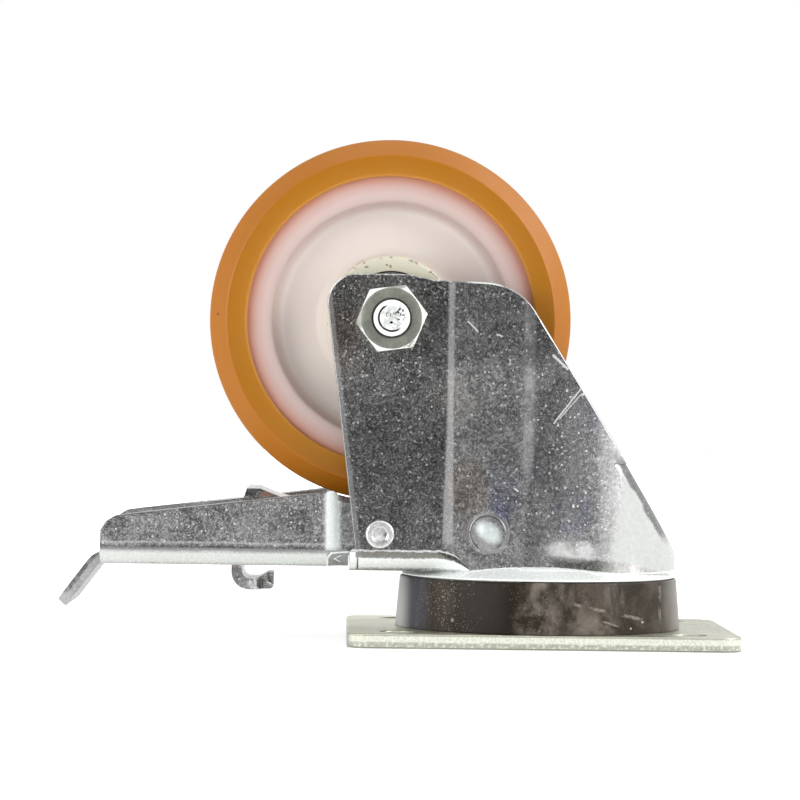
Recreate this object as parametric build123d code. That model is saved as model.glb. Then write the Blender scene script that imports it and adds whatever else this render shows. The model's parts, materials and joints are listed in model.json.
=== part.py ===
from build123d import *
import os
from math import atan2, cos, degrees, hypot, radians, sin, sqrt, tan

# Swivel castor with a brake pedal, standing on its top plate with the wheel uppermost.
# Millimetres, +Z up. The origin lies on the swivel axis, in the plate's mounting face (z = 0).
# +X runs from the wheel towards the nose of the fork, and the axle lies along Y.

# Main sizes
wheel_diameter = 100.0
overall_height = 139.0
swivel_offset = 42.5

# Top plate
plate_length = 107.0
plate_width = 80.0
plate_thickness = 4.0
plate_corner_radius = 6.0
hole_spacing_x = 80.0
hole_spacing_y = 60.0
bolt_hole_diameter = 9.0

# Fork, pressed from one sheet
fork_sheet = 3.0
crown_underside = 20.0
crown_back_reach = 10.5
leg_back_foot_reach = 9.0
leg_back_top_reach = 18.5
leg_top_back_rise = 12.3
leg_top_step_start = 5.0
leg_top_step_end = 11.5
leg_top_step_drop = 1.4
leg_top_step_radius = 12.0
leg_top_front_rise = 9.9
leg_top_front_reach = 34.6
leg_back_corner_radius = 8.0
leg_front_corner_radius = 17.0
crown_bend_radius = 6.0
flare_start_reach = 17.0
flare_end_reach = 38.0
flare_width = 3.5
flare_bend_radius = 6.0
flare_end_radius = 16.0
nose_foot_rise = 4.8
nose_step = 0.35
crown_rim_inset = 0.2
crown_rim_height = 0.5
crown_rim_slope = 19.0
cup_shoulder_drop = 1.6
bend_fade_start_reach = 13.0
bend_fade_end_reach = 22.5
bend_faded_radius = 0.8
nose_web_rise = 30.3
nose_edge_radius = 5.0
dimple_radius = 4.8
dimple_height = 0.9
dimple_sink = 0.02

# Swivel bearing
main_ball_diameter = 9.0
main_ball_count = 16
main_pitch_radius = 29.0
upper_ball_diameter = 5.0
upper_ball_count = 16
upper_pitch_radius = 16.5
race_clearance = 0.1
cup_lip_length = 7.5
retainer_sheet = 2.0
retainer_lift = 1.0
kingpin_diameter = 12.0
kingpin_head_diameter = 22.0
kingpin_head_height = 6.5
kingpin_nut_width = 19.0
kingpin_nut_height = 10.0
kingpin_nut_turn = 12.0
kingpin_sleeve_wall = 2.4
seal_wall = 1.8
seal_flare = 1.2
seal_gap = 0.3

# Axle and wheel bearings
axle_diameter = 10.0
axle_nut_width = 17.0
axle_nut_height = 8.4
axle_head_height = 6.4
axle_end_stand_out = 2.0
axle_nut_turn = 7.7
hexagon_face_share = 0.88
bearing_outer_diameter = 26.0
bearing_width = 8.0
bearing_ring_wall = 2.1
bearing_ball_diameter = 4.76
bearing_ball_count = 7
bearing_seal_thickness = 0.6
axle_spacer_diameter = 14.0
axle_spacer_length = 3.5

# Wheel
tread_width = 35.0
tread_shoulder = 4.7
tread_side_depth = 5.8
tread_depth = 8.5
hub_length = 40.0
hub_diameter = 35.2
rim_side_step = 1.5
rim_inner_radius = 32.7
web_thickness = 16.0
hub_bore_step = 2.0

# Brake
pedal_sheet = 3.0
pivot_behind_axle = 2.3
pivot_height = 30.2
pivot_pin_diameter = 5.0
pivot_head_diameter = 7.8
pivot_head_height = 1.8
pivot_sleeve_diameter = 8.4
brake_travel_degrees = 14.0
pedal_end_reach = 76.3
pedal_neck_reach = 14.7
pedal_neck_length = 3.2
pedal_underside = 21.1
pedal_end_height = 14.0
pedal_root_height = 20.8
pedal_fold_radius = 5.0
pedal_outside_step = 3.5
pedal_side_play = 0.5
lip_length = 16.4
lip_angle = 53.0
lip_width = 42.0
lip_chamfer = 4.5
shoe_sheet = 3.0
shoe_width = 34.0
shoe_tail_width = 24.0
shoe_tongue_width = 14.0
shoe_gap_when_locked = 0.3
shoe_upper_angle = 39.5
shoe_cap_length = 3.0
shoe_lower_angle = 20.0
shoe_tail_reach = 40.8
hook_drop = 7.2
hook_length = 11.6
hook_tip_rise = 1.6
shoe_foot_length = 11.0
detent_leaf_sheet = 1.0
detent_leaf_width = 18.0
rivet_diameter = 4.0
rivet_head_diameter = 7.0
rivet_head_height = 1.8

# Clearances
bolt_clearance = 0.1
rivet_clearance = 0.05
stop_gap = 0.3

# Places worked out from the sizes above
wheel_radius = wheel_diameter / 2
axle_x = -swivel_offset
axle_z = overall_height - wheel_radius
crown_top = crown_underside + fork_sheet
hub_half = hub_length / 2
leg_inner = hub_half + axle_spacer_length
leg_outer = leg_inner + fork_sheet
main_ball_radius = main_ball_diameter / 2
main_race_radius = main_ball_radius + race_clearance
main_ball_z = crown_underside - main_race_radius
cup_lip_inner = main_pitch_radius + main_race_radius
cup_lip_outer = cup_lip_inner + fork_sheet
seal_inner_top = cup_lip_outer + seal_gap
seal_outer_top = seal_inner_top + seal_wall
nose_radius_x = seal_outer_top - nose_step
upper_ball_radius = upper_ball_diameter / 2
upper_race_radius = upper_ball_radius + race_clearance
upper_race_depth = 0.4
upper_ball_z = crown_top - upper_race_depth + upper_race_radius
crown_hole_radius = upper_pitch_radius - upper_race_radius + 0.3
pivot_x = axle_x - pivot_behind_axle
pivot_z = pivot_height


def side_plane(y=0.0):
    """Plane whose local x and y are the castor's X and Z, extruding towards -Y."""
    return Plane(origin=(0, y, 0), x_dir=(1, 0, 0), z_dir=(0, -1, 0))


def side_profile(points, radii, width, centre=0.0):
    """A closed outline in X and Z, carried across the castor for the given width."""
    outline = FilletPolyline(*points, radius=radii, close=True)
    face = side_plane(centre) * make_face(outline)
    return extrude(face, amount=width / 2, both=True)


def turned_about_swivel(points, radii):
    """A closed outline in radius and height, turned about the swivel axis."""
    outline = FilletPolyline(*points, radius=radii, close=True)
    return revolve(side_plane() * make_face(outline), Axis.Z)


def turned_about_axle(points, radii):
    """A closed outline in radius and distance along Y, turned about the axle."""
    outline = FilletPolyline(*points, radius=radii, close=True)
    solid = revolve(make_face(outline), Axis.Y)
    return Pos(axle_x, 0, axle_z) * solid


def axle_cylinder(radius, y_from, y_to, x=axle_x, z=axle_z):
    """A round bar along Y between two stations."""
    middle = (y_from + y_to) / 2
    bar = Rot(90, 0, 0) * Cylinder(radius, abs(y_to - y_from))
    return Pos(x, middle, z) * bar


def swivel_cylinder(radius, z_from, z_to, x=0.0, y=0.0):
    """A round bar along Z between two heights."""
    return Pos(x, y, (z_from + z_to) / 2) * Cylinder(radius, z_to - z_from)


def hexagon(width_across_flats, height, chamfer_drop):
    """A hexagon along Z from z = 0, its corners turned off at the top."""
    radius = width_across_flats / sqrt(3)
    face_radius = hexagon_face_share * width_across_flats / 2
    body = extrude(RegularPolygon(radius, 6, major_radius=True), height)
    cone_points = [
        (0, 0),
        (radius + 1, 0),
        (radius + 1, height - chamfer_drop),
        (radius, height - chamfer_drop),
        (face_radius, height),
        (0, height),
    ]
    cone = revolve(side_plane() * make_face(Polyline(*cone_points, close=True)), Axis.Z)
    return body & cone


def ball_ring(ball_radius, pitch_radius, count):
    """Balls spaced round the Z axis at z = 0, as separate solids."""
    step = 360 / count
    ball = Pos(pitch_radius, 0, 0) * Sphere(ball_radius)
    return Compound(children=[Rot(0, 0, step * (i + 0.5)) * ball for i in range(count)])


# ---- swivel head, fixed to the plate ----

dome_top = main_ball_z + 0.8
dome_under = dome_top - plate_thickness
dome_edge = main_pitch_radius - main_race_radius
ledge_z = main_ball_z - main_race_radius
ledge_edge = cup_lip_inner - 0.5
dome_foot = ledge_edge + 2.2
kingpin_hole = kingpin_diameter / 2 + bolt_clearance


def make_top_plate():
    outline = RectangleRounded(plate_length, plate_width, plate_corner_radius)
    flat = extrude(outline, plate_thickness)
    flat -= swivel_cylinder(dome_foot, -1, plate_thickness + 1)
    under_edge = dome_edge - plate_thickness
    under_ledge = ledge_edge - plate_thickness
    points = [
        (kingpin_hole, dome_under),
        (under_edge, dome_under),
        (under_edge, ledge_z - plate_thickness),
        (under_ledge, ledge_z - plate_thickness),
        (under_ledge + 1.5, 0),
        (dome_foot, 0),
        (dome_foot, plate_thickness),
        (ledge_edge, ledge_z),
        (dome_edge, ledge_z),
        (dome_edge, dome_top),
        (kingpin_hole, dome_top),
    ]
    radii = [0, 1.5, 1.5, 1.5, 1.5, 0, 0, 1.0, main_race_radius, 0.6, 0]
    plate = flat + turned_about_swivel(points, radii)
    for x in (-hole_spacing_x / 2, hole_spacing_x / 2):
        for y in (-hole_spacing_y / 2, hole_spacing_y / 2):
            plate -= swivel_cylinder(bolt_hole_diameter / 2, -1, plate_thickness + 1, x, y)
    return plate


retainer_top = upper_ball_z + upper_race_radius + retainer_sheet
retainer_floor = crown_top + retainer_lift
retainer_seat = retainer_floor + retainer_sheet


def make_kingpin():
    radius = kingpin_diameter / 2
    head_radius = kingpin_head_diameter / 2
    end = retainer_seat + kingpin_nut_height + 1.5
    points = [
        (0, dome_under - kingpin_head_height),
        (head_radius, dome_under - kingpin_head_height),
        (head_radius, dome_under),
        (radius, dome_under),
        (radius, end - 1.0),
        (radius - 1.0, end),
        (0, end),
    ]
    return turned_about_swivel(points, [0, 1.5, 0.5, 0, 0, 0, 0])


def make_kingpin_sleeve():
    inner = kingpin_hole
    outer = kingpin_diameter / 2 + kingpin_sleeve_wall
    tube = swivel_cylinder(outer, dome_top, retainer_floor)
    return tube - swivel_cylinder(inner, dome_top - 1, retainer_floor + 1)


def make_retaining_cup():
    inner_wall = upper_pitch_radius - upper_race_radius
    outer_wall = upper_pitch_radius + upper_race_radius
    race_roof = upper_ball_z + upper_race_radius
    points = [
        (kingpin_hole, retainer_floor),
        (inner_wall, retainer_floor),
        (inner_wall, race_roof),
        (outer_wall, race_roof),
        (outer_wall, retainer_floor),
        (outer_wall + retainer_sheet, retainer_floor),
        (outer_wall + retainer_sheet, retainer_top),
        (inner_wall - retainer_sheet, retainer_top),
        (inner_wall - retainer_sheet, retainer_seat),
        (kingpin_hole, retainer_seat),
    ]
    race = upper_race_radius - 0.01
    over = upper_race_radius + retainer_sheet - 0.8
    return turned_about_swivel(points, [0, 0.4, race, race, 0, 0.5, over, 1.2, 0.5, 0])


def make_kingpin_nut():
    nut = hexagon(kingpin_nut_width, kingpin_nut_height, 1.2)
    nut -= Pos(0, 0, kingpin_nut_height / 2) * Cylinder(
        kingpin_diameter / 2 + 0.02, kingpin_nut_height + 2
    )
    return Pos(0, 0, retainer_seat) * Rot(0, 0, kingpin_nut_turn) * nut


def make_seal_ring():
    top = crown_underside - 1.9
    points = [
        (seal_inner_top, top),
        (seal_inner_top + seal_flare, plate_thickness),
        (seal_outer_top + seal_flare, plate_thickness),
        (seal_outer_top, top),
    ]
    return turned_about_swivel(points, [0.3, 0.2, 0.4, 0.6])


# ---- fork ----


def fork_plan(inset, back):
    """Plan of the fork's walls seen from above, drawn in by an inset."""
    half = leg_outer - inset
    wide = leg_outer + flare_width - inset
    nose = nose_radius_x - inset
    flare_start = axle_x + flare_start_reach
    flare_end = axle_x + flare_end_reach
    nose_centre = nose - wide
    side = [(back, -half), (flare_start, -half), (flare_end, -wide), (nose_centre, -wide)]
    radii = [flare_bend_radius + inset, flare_end_radius - inset]
    lower = FilletPolyline(*side, radius=radii)
    upper = mirror(lower, Plane.XZ)
    arc = ThreePointArc((nose_centre, -wide), (nose, 0), (nose_centre, wide))
    end = Line((back, half), (back, -half))
    return make_face([*lower.edges(), arc.edge(), *upper.edges(), end.edge()])


def slope_corner():
    """Where the top edge and the sloping front edge of the legs would meet."""
    return (axle_x + leg_top_front_reach, axle_z + leg_top_front_rise)


def slope_foot():
    return (nose_radius_x, crown_underside + nose_foot_rise)


def inset_slope(inset):
    """The sloping front line, moved into the sheet by an inset."""
    (x1, z1), (x2, z2) = slope_corner(), slope_foot()
    length = hypot(x2 - x1, z2 - z1)
    nx, nz = -(z1 - z2) / length, -(x2 - x1) / length
    return (x1 + nx * inset, z1 + nz * inset), (x2 + nx * inset, z2 + nz * inset)


def slope_x_at(height, inset=0.0):
    (x1, z1), (x2, z2) = inset_slope(inset)
    return x1 + (x2 - x1) * (height - z1) / (z2 - z1)


def leg_side_outline():
    """The legs seen from the side, from the crown to their rounded ends."""
    crown_back = axle_x - crown_back_reach
    points = [
        (crown_back, crown_underside),
        (crown_back, crown_underside + crown_bend_radius - 0.5),
        (axle_x - leg_back_foot_reach, crown_underside + crown_bend_radius + 0.5),
        (axle_x - leg_back_top_reach, axle_z + leg_top_back_rise),
        (axle_x + leg_top_step_start, axle_z + leg_top_back_rise),
        (axle_x + leg_top_step_end, axle_z + leg_top_back_rise - leg_top_step_drop),
        slope_corner(),
        slope_foot(),
        (nose_radius_x, crown_underside),
    ]
    step = leg_top_step_radius
    radii = [0, 0, 0, leg_back_corner_radius, step, step, leg_front_corner_radius, 0, 0]
    return points, radii


def bent_channel(half, floor, bend, top, back, front):
    """A square trough along X with rounded bottom corners."""
    cross = Plane(origin=(back, 0, 0), x_dir=(0, 1, 0), z_dir=(1, 0, 0))
    outline = FilletPolyline(
        (-half, top), (-half, floor), (half, floor), (half, top), radius=[0, bend, bend, 0], close=True
    )
    return extrude(cross * make_face(outline), front - back)


def nose_block(side_outline, side_radii):
    """The solid bounded by the flared walls, the rounded nose and the slope."""
    back = axle_x + bend_fade_start_reach
    rim_under = crown_underside - cup_shoulder_drop
    height = axle_z + leg_top_back_rise + 10 - crown_underside
    block = extrude(Pos(0, 0, crown_underside) * fork_plan(0, back), height)
    block &= side_profile(side_outline, side_radii, 4 * leg_outer)
    for side in (-1, 1):
        block -= faded_bend(side)
    foot = extrude(Pos(0, 0, rim_under) * fork_plan(0, back), cup_shoulder_drop)
    foot -= swivel_cylinder(cup_lip_inner + 0.5, rim_under - 1, crown_underside + 1)
    foot &= side_profile(
        [
            (0, rim_under),
            (nose_radius_x + 1, rim_under),
            (nose_radius_x + 1, crown_underside + 1),
            (0, crown_underside + 1),
        ],
        [0] * 4,
        4 * leg_outer,
    )
    return block + foot


def bend_corner(reach):
    """What the crown bend takes off the square bottom corner of a wall, ahead of the axle."""
    x = axle_x + reach
    faded = (reach - bend_fade_start_reach) / (bend_fade_end_reach - bend_fade_start_reach)
    radius = crown_bend_radius + (bend_faded_radius - crown_bend_radius) * faded
    flare = max(0.0, reach - flare_start_reach)
    share = flare / (flare_end_reach - flare_start_reach)
    y = leg_outer + flare_width * share
    outline = Polyline(
        (y - radius, crown_underside - 1),
        (y + 1, crown_underside - 1),
        (y + 1, crown_underside + radius),
        (y, crown_underside + radius),
    )
    arc = RadiusArc((y, crown_underside + radius), (y - radius, crown_underside), radius)
    close = Line((y - radius, crown_underside), (y - radius, crown_underside - 1))
    cross = Plane(origin=(x, 0, 0), x_dir=(0, 1, 0), z_dir=(1, 0, 0))
    return cross * make_face([*outline.edges(), arc.edge(), close.edge()])


def faded_bend(side):
    """Waste outside the crown bend where it dies away into the flared wall."""
    waste = loft([bend_corner(bend_fade_start_reach), bend_corner(flare_start_reach)])
    waste += loft([bend_corner(flare_start_reach), bend_corner(bend_fade_end_reach)])
    return waste if side > 0 else mirror(waste, Plane.XZ)


def is_web_side(edge):
    """True for the long edges between the sloping web and the walls."""
    stations = [edge @ 0, edge @ 0.5, edge @ 1]
    on_slope = all(abs(p.X - slope_x_at(p.Z)) < 0.02 for p in stations)
    return on_slope and abs(stations[0].Z - stations[2].Z) > 1.0


def nose_room():
    """The hollow inside the nose, open above the web."""
    back = axle_x + bend_fade_start_reach - 0.5
    web_end = crown_underside + nose_web_rise
    ceiling = axle_z + leg_top_back_rise + 10
    reach = nose_radius_x + 10
    prism = extrude(Pos(0, 0, crown_top) * fork_plan(fork_sheet, back), ceiling - crown_top)
    points = [
        (back, crown_top),
        (slope_x_at(crown_top, fork_sheet), crown_top),
        (slope_x_at(web_end, fork_sheet), web_end),
        (reach, web_end),
        (reach, ceiling),
        (back, ceiling),
    ]
    return prism & side_profile(points, [0] * len(points), 4 * leg_outer)


def race_cup():
    """Crown disc with a sloping rim, and the lip and main ball race pressed into it."""
    rim = nose_radius_x - crown_rim_inset
    lip_end = crown_underside - cup_lip_length
    rim_under = crown_underside - cup_shoulder_drop
    rim_top = rim_under + crown_rim_height
    slope_inner = rim - (crown_top - rim_top) / tan(radians(crown_rim_slope))
    points = [
        (crown_hole_radius, crown_underside),
        (cup_lip_inner, crown_underside),
        (cup_lip_inner, lip_end),
        (cup_lip_outer, lip_end),
        (cup_lip_outer, rim_under),
        (rim, rim_under),
        (rim, rim_top),
        (slope_inner, crown_top),
        (crown_hole_radius, crown_top),
    ]
    radii = [0.8, main_race_radius, 0.8, 0.8, 0, 0, 0.3, 2.0, 0.4]
    return turned_about_swivel(points, radii)


def dimple(side):
    """A shallow locating pip pressed outwards in the flared wall, with a soft foot."""
    curve_radius = (dimple_radius**2 + dimple_height**2) / (4 * dimple_height)
    flare_angle = degrees(atan2(flare_width, flare_end_reach - flare_start_reach))
    x = axle_x + (flare_start_reach + flare_end_reach) / 2 - 0.4
    y = leg_outer + flare_width * 0.5
    top = (0, dimple_height - dimple_sink)
    middle = (dimple_radius / 2, dimple_height / 2 - dimple_sink)
    foot = (dimple_radius, -dimple_sink)
    dome = RadiusArc(top, middle, curve_radius)
    flank = RadiusArc(foot, middle, curve_radius)
    rest = Polyline(foot, (dimple_radius, -dimple_height), (0, -dimple_height), top)
    outline = make_face([dome.edge(), flank.edge(), *rest.edges()])
    pip = revolve(side_plane() * outline, Axis.Z)
    tilted = Rot(0, 0, -flare_angle) * Rot(90, 0, 0) * pip
    near = Pos(x, -y, crown_top + 8.0) * tilted
    return near if side < 0 else mirror(near, Plane.XZ)


def make_fork():
    points, radii = leg_side_outline()
    web_end = crown_underside + nose_web_rise
    top = axle_z + leg_top_back_rise + 10
    back = axle_x - leg_back_top_reach - 5
    join = axle_x + bend_fade_start_reach
    legs = bent_channel(leg_outer, crown_underside, crown_bend_radius, top, back, join)
    legs &= side_profile(points, radii, 4 * leg_outer)
    nose = nose_block(points, radii)
    divider = Pos(0, 0, (web_end + crown_underside) / 2) * Box(
        8 * leg_outer, 4 * leg_outer, web_end - crown_underside
    )
    low_nose = nose & divider
    high_nose = nose - divider
    low_nose = fillet(low_nose.edges().filter_by(is_web_side), nose_edge_radius)
    fork = legs + high_nose + low_nose + race_cup()
    inner_bend = crown_bend_radius - fork_sheet
    fork -= bent_channel(leg_inner, crown_top, inner_bend, top + 1, back - 1, join)
    fork -= nose_room()
    fork -= swivel_cylinder(crown_hole_radius, crown_underside - 1, crown_top + 1)
    fork -= Pos(0, 0, upper_ball_z) * Torus(upper_pitch_radius, upper_race_radius)
    fork -= axle_cylinder(axle_diameter / 2 + bolt_clearance, -leg_outer - 1, leg_outer + 1)
    fork -= axle_cylinder(
        pivot_pin_diameter / 2 + bolt_clearance, -leg_outer - 1, leg_outer + 1, pivot_x, pivot_z
    )
    return fork + dimple(-1) + dimple(1)


# ---- axle ----


def make_axle_bolt():
    shank_end = -leg_outer - axle_nut_height - axle_end_stand_out
    radius = axle_diameter / 2 - bolt_clearance / 2
    shank = axle_cylinder(radius, shank_end, leg_outer)
    end_cone = axle_cylinder(radius, shank_end, shank_end + 1.0)
    shank = shank - end_cone + Pos(axle_x, shank_end + 0.5, axle_z) * Rot(90, 0, 0) * Cone(
        radius, radius - 0.9, 1.0
    )
    head = Rot(-90, 0, 0) * hexagon(axle_nut_width, axle_head_height, 1.0)
    return shank + Pos(axle_x, leg_outer, axle_z) * head


def make_axle_nut():
    nut = hexagon(axle_nut_width, axle_nut_height, 1.1)
    nut -= Pos(0, 0, axle_nut_height / 2) * Cylinder(axle_diameter / 2, axle_nut_height + 2)
    mouth = Cone(axle_diameter / 2, axle_diameter / 2 + 0.9, 0.9)
    nut -= Pos(0, 0, axle_nut_height - 0.45) * mouth
    turned = Rot(0, 0, axle_nut_turn) * nut
    return Pos(axle_x, -leg_outer, axle_z) * Rot(90, 0, 0) * turned


bearing_outer_radius = bearing_outer_diameter / 2
bearing_bore = axle_diameter / 2
bearing_pitch = (bearing_outer_radius + bearing_bore) / 2
bearing_race = bearing_ball_diameter / 2 + race_clearance
bearing_centre = hub_half - bearing_width / 2


def make_bearing_outer(side):
    ring = ring_about_axle(bearing_outer_radius - bearing_ring_wall, bearing_outer_radius, side)
    return ring - bearing_groove(side)


def make_bearing_inner(side):
    ring = ring_about_axle(bearing_bore, bearing_bore + bearing_ring_wall, side)
    return ring - bearing_groove(side)


def ring_about_axle(inner, outer, side):
    y_inner = side * (hub_half - bearing_width)
    y_outer = side * hub_half
    points = [(inner, y_inner), (outer, y_inner), (outer, y_outer), (inner, y_outer)]
    return turned_about_axle(points, [0.3] * 4)


def bearing_groove(side):
    torus = Rot(90, 0, 0) * Torus(bearing_pitch, bearing_race)
    return Pos(axle_x, side * bearing_centre, axle_z) * torus


def make_bearing_balls(side):
    balls = ball_ring(bearing_ball_diameter / 2, bearing_pitch, bearing_ball_count)
    return Pos(axle_x, side * bearing_centre, axle_z) * Rot(90, 0, 0) * balls


def make_bearing_seal(side):
    """Rubber lip seal just inside the outer face of a wheel bearing."""
    inner = bearing_bore + bearing_ring_wall + 0.2
    outer = bearing_outer_radius - bearing_ring_wall
    face = side * (hub_half - 0.3)
    back = face - side * bearing_seal_thickness
    tube = axle_cylinder(outer, back, face)
    return tube - axle_cylinder(inner, back - side, face + side)


def make_axle_spacer(side):
    bore = axle_diameter / 2
    outer = axle_spacer_diameter / 2
    points = [
        (bore, side * hub_half),
        (outer, side * hub_half),
        (outer, side * leg_inner),
        (bore, side * leg_inner),
    ]
    return turned_about_axle(points, [0.3] * 4)


def make_centre_tube():
    half = hub_half - bearing_width
    tube = axle_cylinder(axle_spacer_diameter / 2, -half, half)
    return tube - axle_cylinder(axle_diameter / 2, -half - 1, half + 1)


# ---- wheel ----

tread_half = tread_width / 2
rim_half = tread_half - rim_side_step
rim_outer = wheel_radius - tread_depth
tread_side_inner = wheel_radius - tread_shoulder - tread_side_depth
web_half = web_thickness / 2
hub_radius = hub_diameter / 2


def make_wheel_centre():
    stop_radius = bearing_outer_radius - hub_bore_step
    seat = hub_half - bearing_width
    half = [
        (bearing_outer_radius, hub_half),
        (hub_radius, hub_half),
        (hub_radius + 1.0, web_half),
        (rim_inner_radius - 1.2, web_half),
        (rim_inner_radius, rim_half),
        (rim_outer, rim_half),
    ]
    half_radii = [0.4, 1.2, 3.0, 3.0, 1.0, 0.5]
    other = [(r, -y) for r, y in reversed(half)]
    bore = [
        (bearing_outer_radius, -seat),
        (stop_radius, -seat),
        (stop_radius, seat),
        (bearing_outer_radius, seat),
    ]
    radii = half_radii + half_radii[::-1] + [0] * 4
    return turned_about_axle(half + other + bore, radii)


def make_tread():
    shoulder_start = tread_half - tread_shoulder
    half = [
        (rim_outer, rim_half),
        (tread_side_inner, rim_half),
        (tread_side_inner, tread_half),
        (wheel_radius - tread_shoulder, tread_half),
        (wheel_radius, shoulder_start),
    ]
    half_radii = [0, 0, 1.0, 1.6, 1.6]
    other = [(r, -y) for r, y in reversed(half)]
    tread = turned_about_axle(half + other, half_radii + half_radii[::-1])
    return tread - make_wheel_centre()


# ---- brake ----

pedal_outer = leg_inner + pedal_outside_step - pedal_side_play
ear_outer = leg_inner - pedal_side_play
ear_inner = ear_outer - pedal_sheet
pedal_top_of_web = pedal_underside + pedal_sheet
crown_back = axle_x - crown_back_reach
web_front = crown_back - stop_gap
pedal_end = pivot_x - pedal_end_reach
neck_start = pivot_x - pedal_neck_reach
neck_end = neck_start + pedal_neck_length
ear_radius = pivot_z - crown_top - 1.2


def pedal_section(outer_half, x, inner=False):
    """Cross-section of the pedal's trough at a station along X."""
    top = pedal_underside + 2 * pedal_root_height
    half, floor, fold, top = (
        (outer_half - pedal_sheet, pedal_top_of_web, pedal_fold_radius - pedal_sheet, top + 1)
        if inner
        else (outer_half, pedal_underside, pedal_fold_radius, top)
    )
    cross = Plane(origin=(x, 0, 0), x_dir=(0, 1, 0), z_dir=(1, 0, 0))
    outline = FilletPolyline(
        (-half, top), (-half, floor), (half, floor), (half, top), radius=[0, fold, fold, 0], close=True
    )
    return cross * make_face(outline)


def pedal_trough(inner):
    """Wide trough, its neck and the narrow ears, solid or as the hollow inside."""
    over = 1.0 if inner else 0.0
    wide = extrude(pedal_section(pedal_outer, pedal_end - over, inner), neck_start - pedal_end + over)
    neck = loft([pedal_section(pedal_outer, neck_start, inner), pedal_section(ear_outer, neck_end, inner)])
    ears = extrude(pedal_section(ear_outer, neck_end, inner), pivot_x + 2 * ear_radius - neck_end)
    return wide + neck + ears


def pedal_side_outline():
    end_top = pedal_underside + pedal_end_height
    root_top = pedal_underside + pedal_root_height
    return [
        (pedal_end, pedal_underside),
        (pedal_end, end_top - 4.6),
        (pedal_end + 1.6, end_top - 2.2),
        (pedal_end + 4.2, end_top - 0.6),
        (pedal_end + 8.4, end_top),
        (neck_start + 2.5, root_top),
        (neck_start + 2.9, root_top - 2.2),
        (web_front, root_top - 3.0),
        (pivot_x, pivot_z + ear_radius),
        (pivot_x, pivot_z - ear_radius),
        (web_front, pivot_z - ear_radius),
        (web_front, pedal_underside),
    ]


def make_brake_pedal():
    solid = pedal_trough(False) - pedal_trough(True)
    outline = pedal_side_outline()
    radii = [0, 1.0, 1.5, 2.5, 4.0, 1.2, 0.5, 2.0, 0, 0, 0, 0]
    sides = side_profile(outline, radii, 4 * pedal_outer)
    sides += axle_cylinder(ear_radius, -2 * pedal_outer, 2 * pedal_outer, pivot_x, pivot_z)
    pedal = solid & sides
    pedal += make_pedal_lip()
    pedal -= axle_cylinder(
        pivot_pin_diameter / 2 + bolt_clearance, -pedal_outer, pedal_outer, pivot_x, pivot_z
    )
    pedal -= shoe_slot()
    return pedal - rivet_holes(pedal_underside, pedal_top_of_web)


def make_pedal_lip():
    """Toe lip at the pedal's end, folded away from the wheel."""
    down, along = sin(radians(lip_angle)), cos(radians(lip_angle))
    bend_x = pedal_end - 2.0
    upper = (bend_x, pedal_top_of_web)
    tip_upper = (bend_x - lip_length * along, pedal_top_of_web - lip_length * down)
    tip_lower = (tip_upper[0] + pedal_sheet * down, tip_upper[1] - pedal_sheet * along)
    lower_run = (tip_lower[1] - pedal_underside) / down
    bend_lower = (tip_lower[0] - lower_run * along, pedal_underside)
    root = pedal_end + 6.0
    points = [(root, pedal_top_of_web), upper, tip_upper, tip_lower, bend_lower, (root, pedal_underside)]
    lip = side_profile(points, [0, 4.5, 0.5, 0.5, 1.5, 0], lip_width)
    half = lip_width / 2
    tip_x = tip_upper[0] - 1
    for side in (-1, 1):
        corner = Polyline(
            (tip_x, side * (half + 1)),
            (tip_x + 1 + lip_chamfer, side * (half + 1)),
            (tip_x, side * (half - lip_chamfer)),
            close=True,
        )
        lip -= extrude(make_face(corner), 2 * pedal_underside, both=True)
    return lip


brake_turn = radians(brake_travel_degrees)


def lowered(x, z):
    """A point of the locked brake, carried back to the released pedal."""
    dx, dz = x - pivot_x, z - pivot_z
    return (
        pivot_x + dx * cos(brake_turn) - dz * sin(brake_turn),
        pivot_z + dx * sin(brake_turn) + dz * cos(brake_turn),
    )


def on_shoe(radius, angle_degrees):
    """A point at a radius from the axle, at an angle behind straight down, lowered."""
    angle = radians(angle_degrees)
    return lowered(axle_x - radius * sin(angle), axle_z - radius * cos(angle))


shoe_face_radius = wheel_radius + shoe_gap_when_locked
shoe_middle_angle = (shoe_upper_angle + shoe_lower_angle) / 2
tail_back = pivot_x - shoe_tail_reach
tail_front = tail_back + shoe_sheet
foot_seat = pedal_top_of_web + detent_leaf_sheet


def shoe_slot():
    clearance = 0.4
    length = shoe_sheet + 2 * clearance
    middle = (tail_back + tail_front) / 2
    return Pos(middle, 0, pedal_underside) * Box(length, shoe_tail_width + 2 * clearance, 4 * pedal_sheet)


def rivet_places():
    x = on_shoe(shoe_face_radius, shoe_lower_angle)[0] - shoe_sheet - shoe_foot_length / 2
    return [(x, -shoe_width / 4), (x, shoe_width / 4)]


def rivet_holes(bottom, top):
    holes = [
        swivel_cylinder(rivet_diameter / 2 + rivet_clearance, bottom - 1, top + 1, x, y)
        for x, y in rivet_places()
    ]
    return Compound(children=holes)


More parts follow.
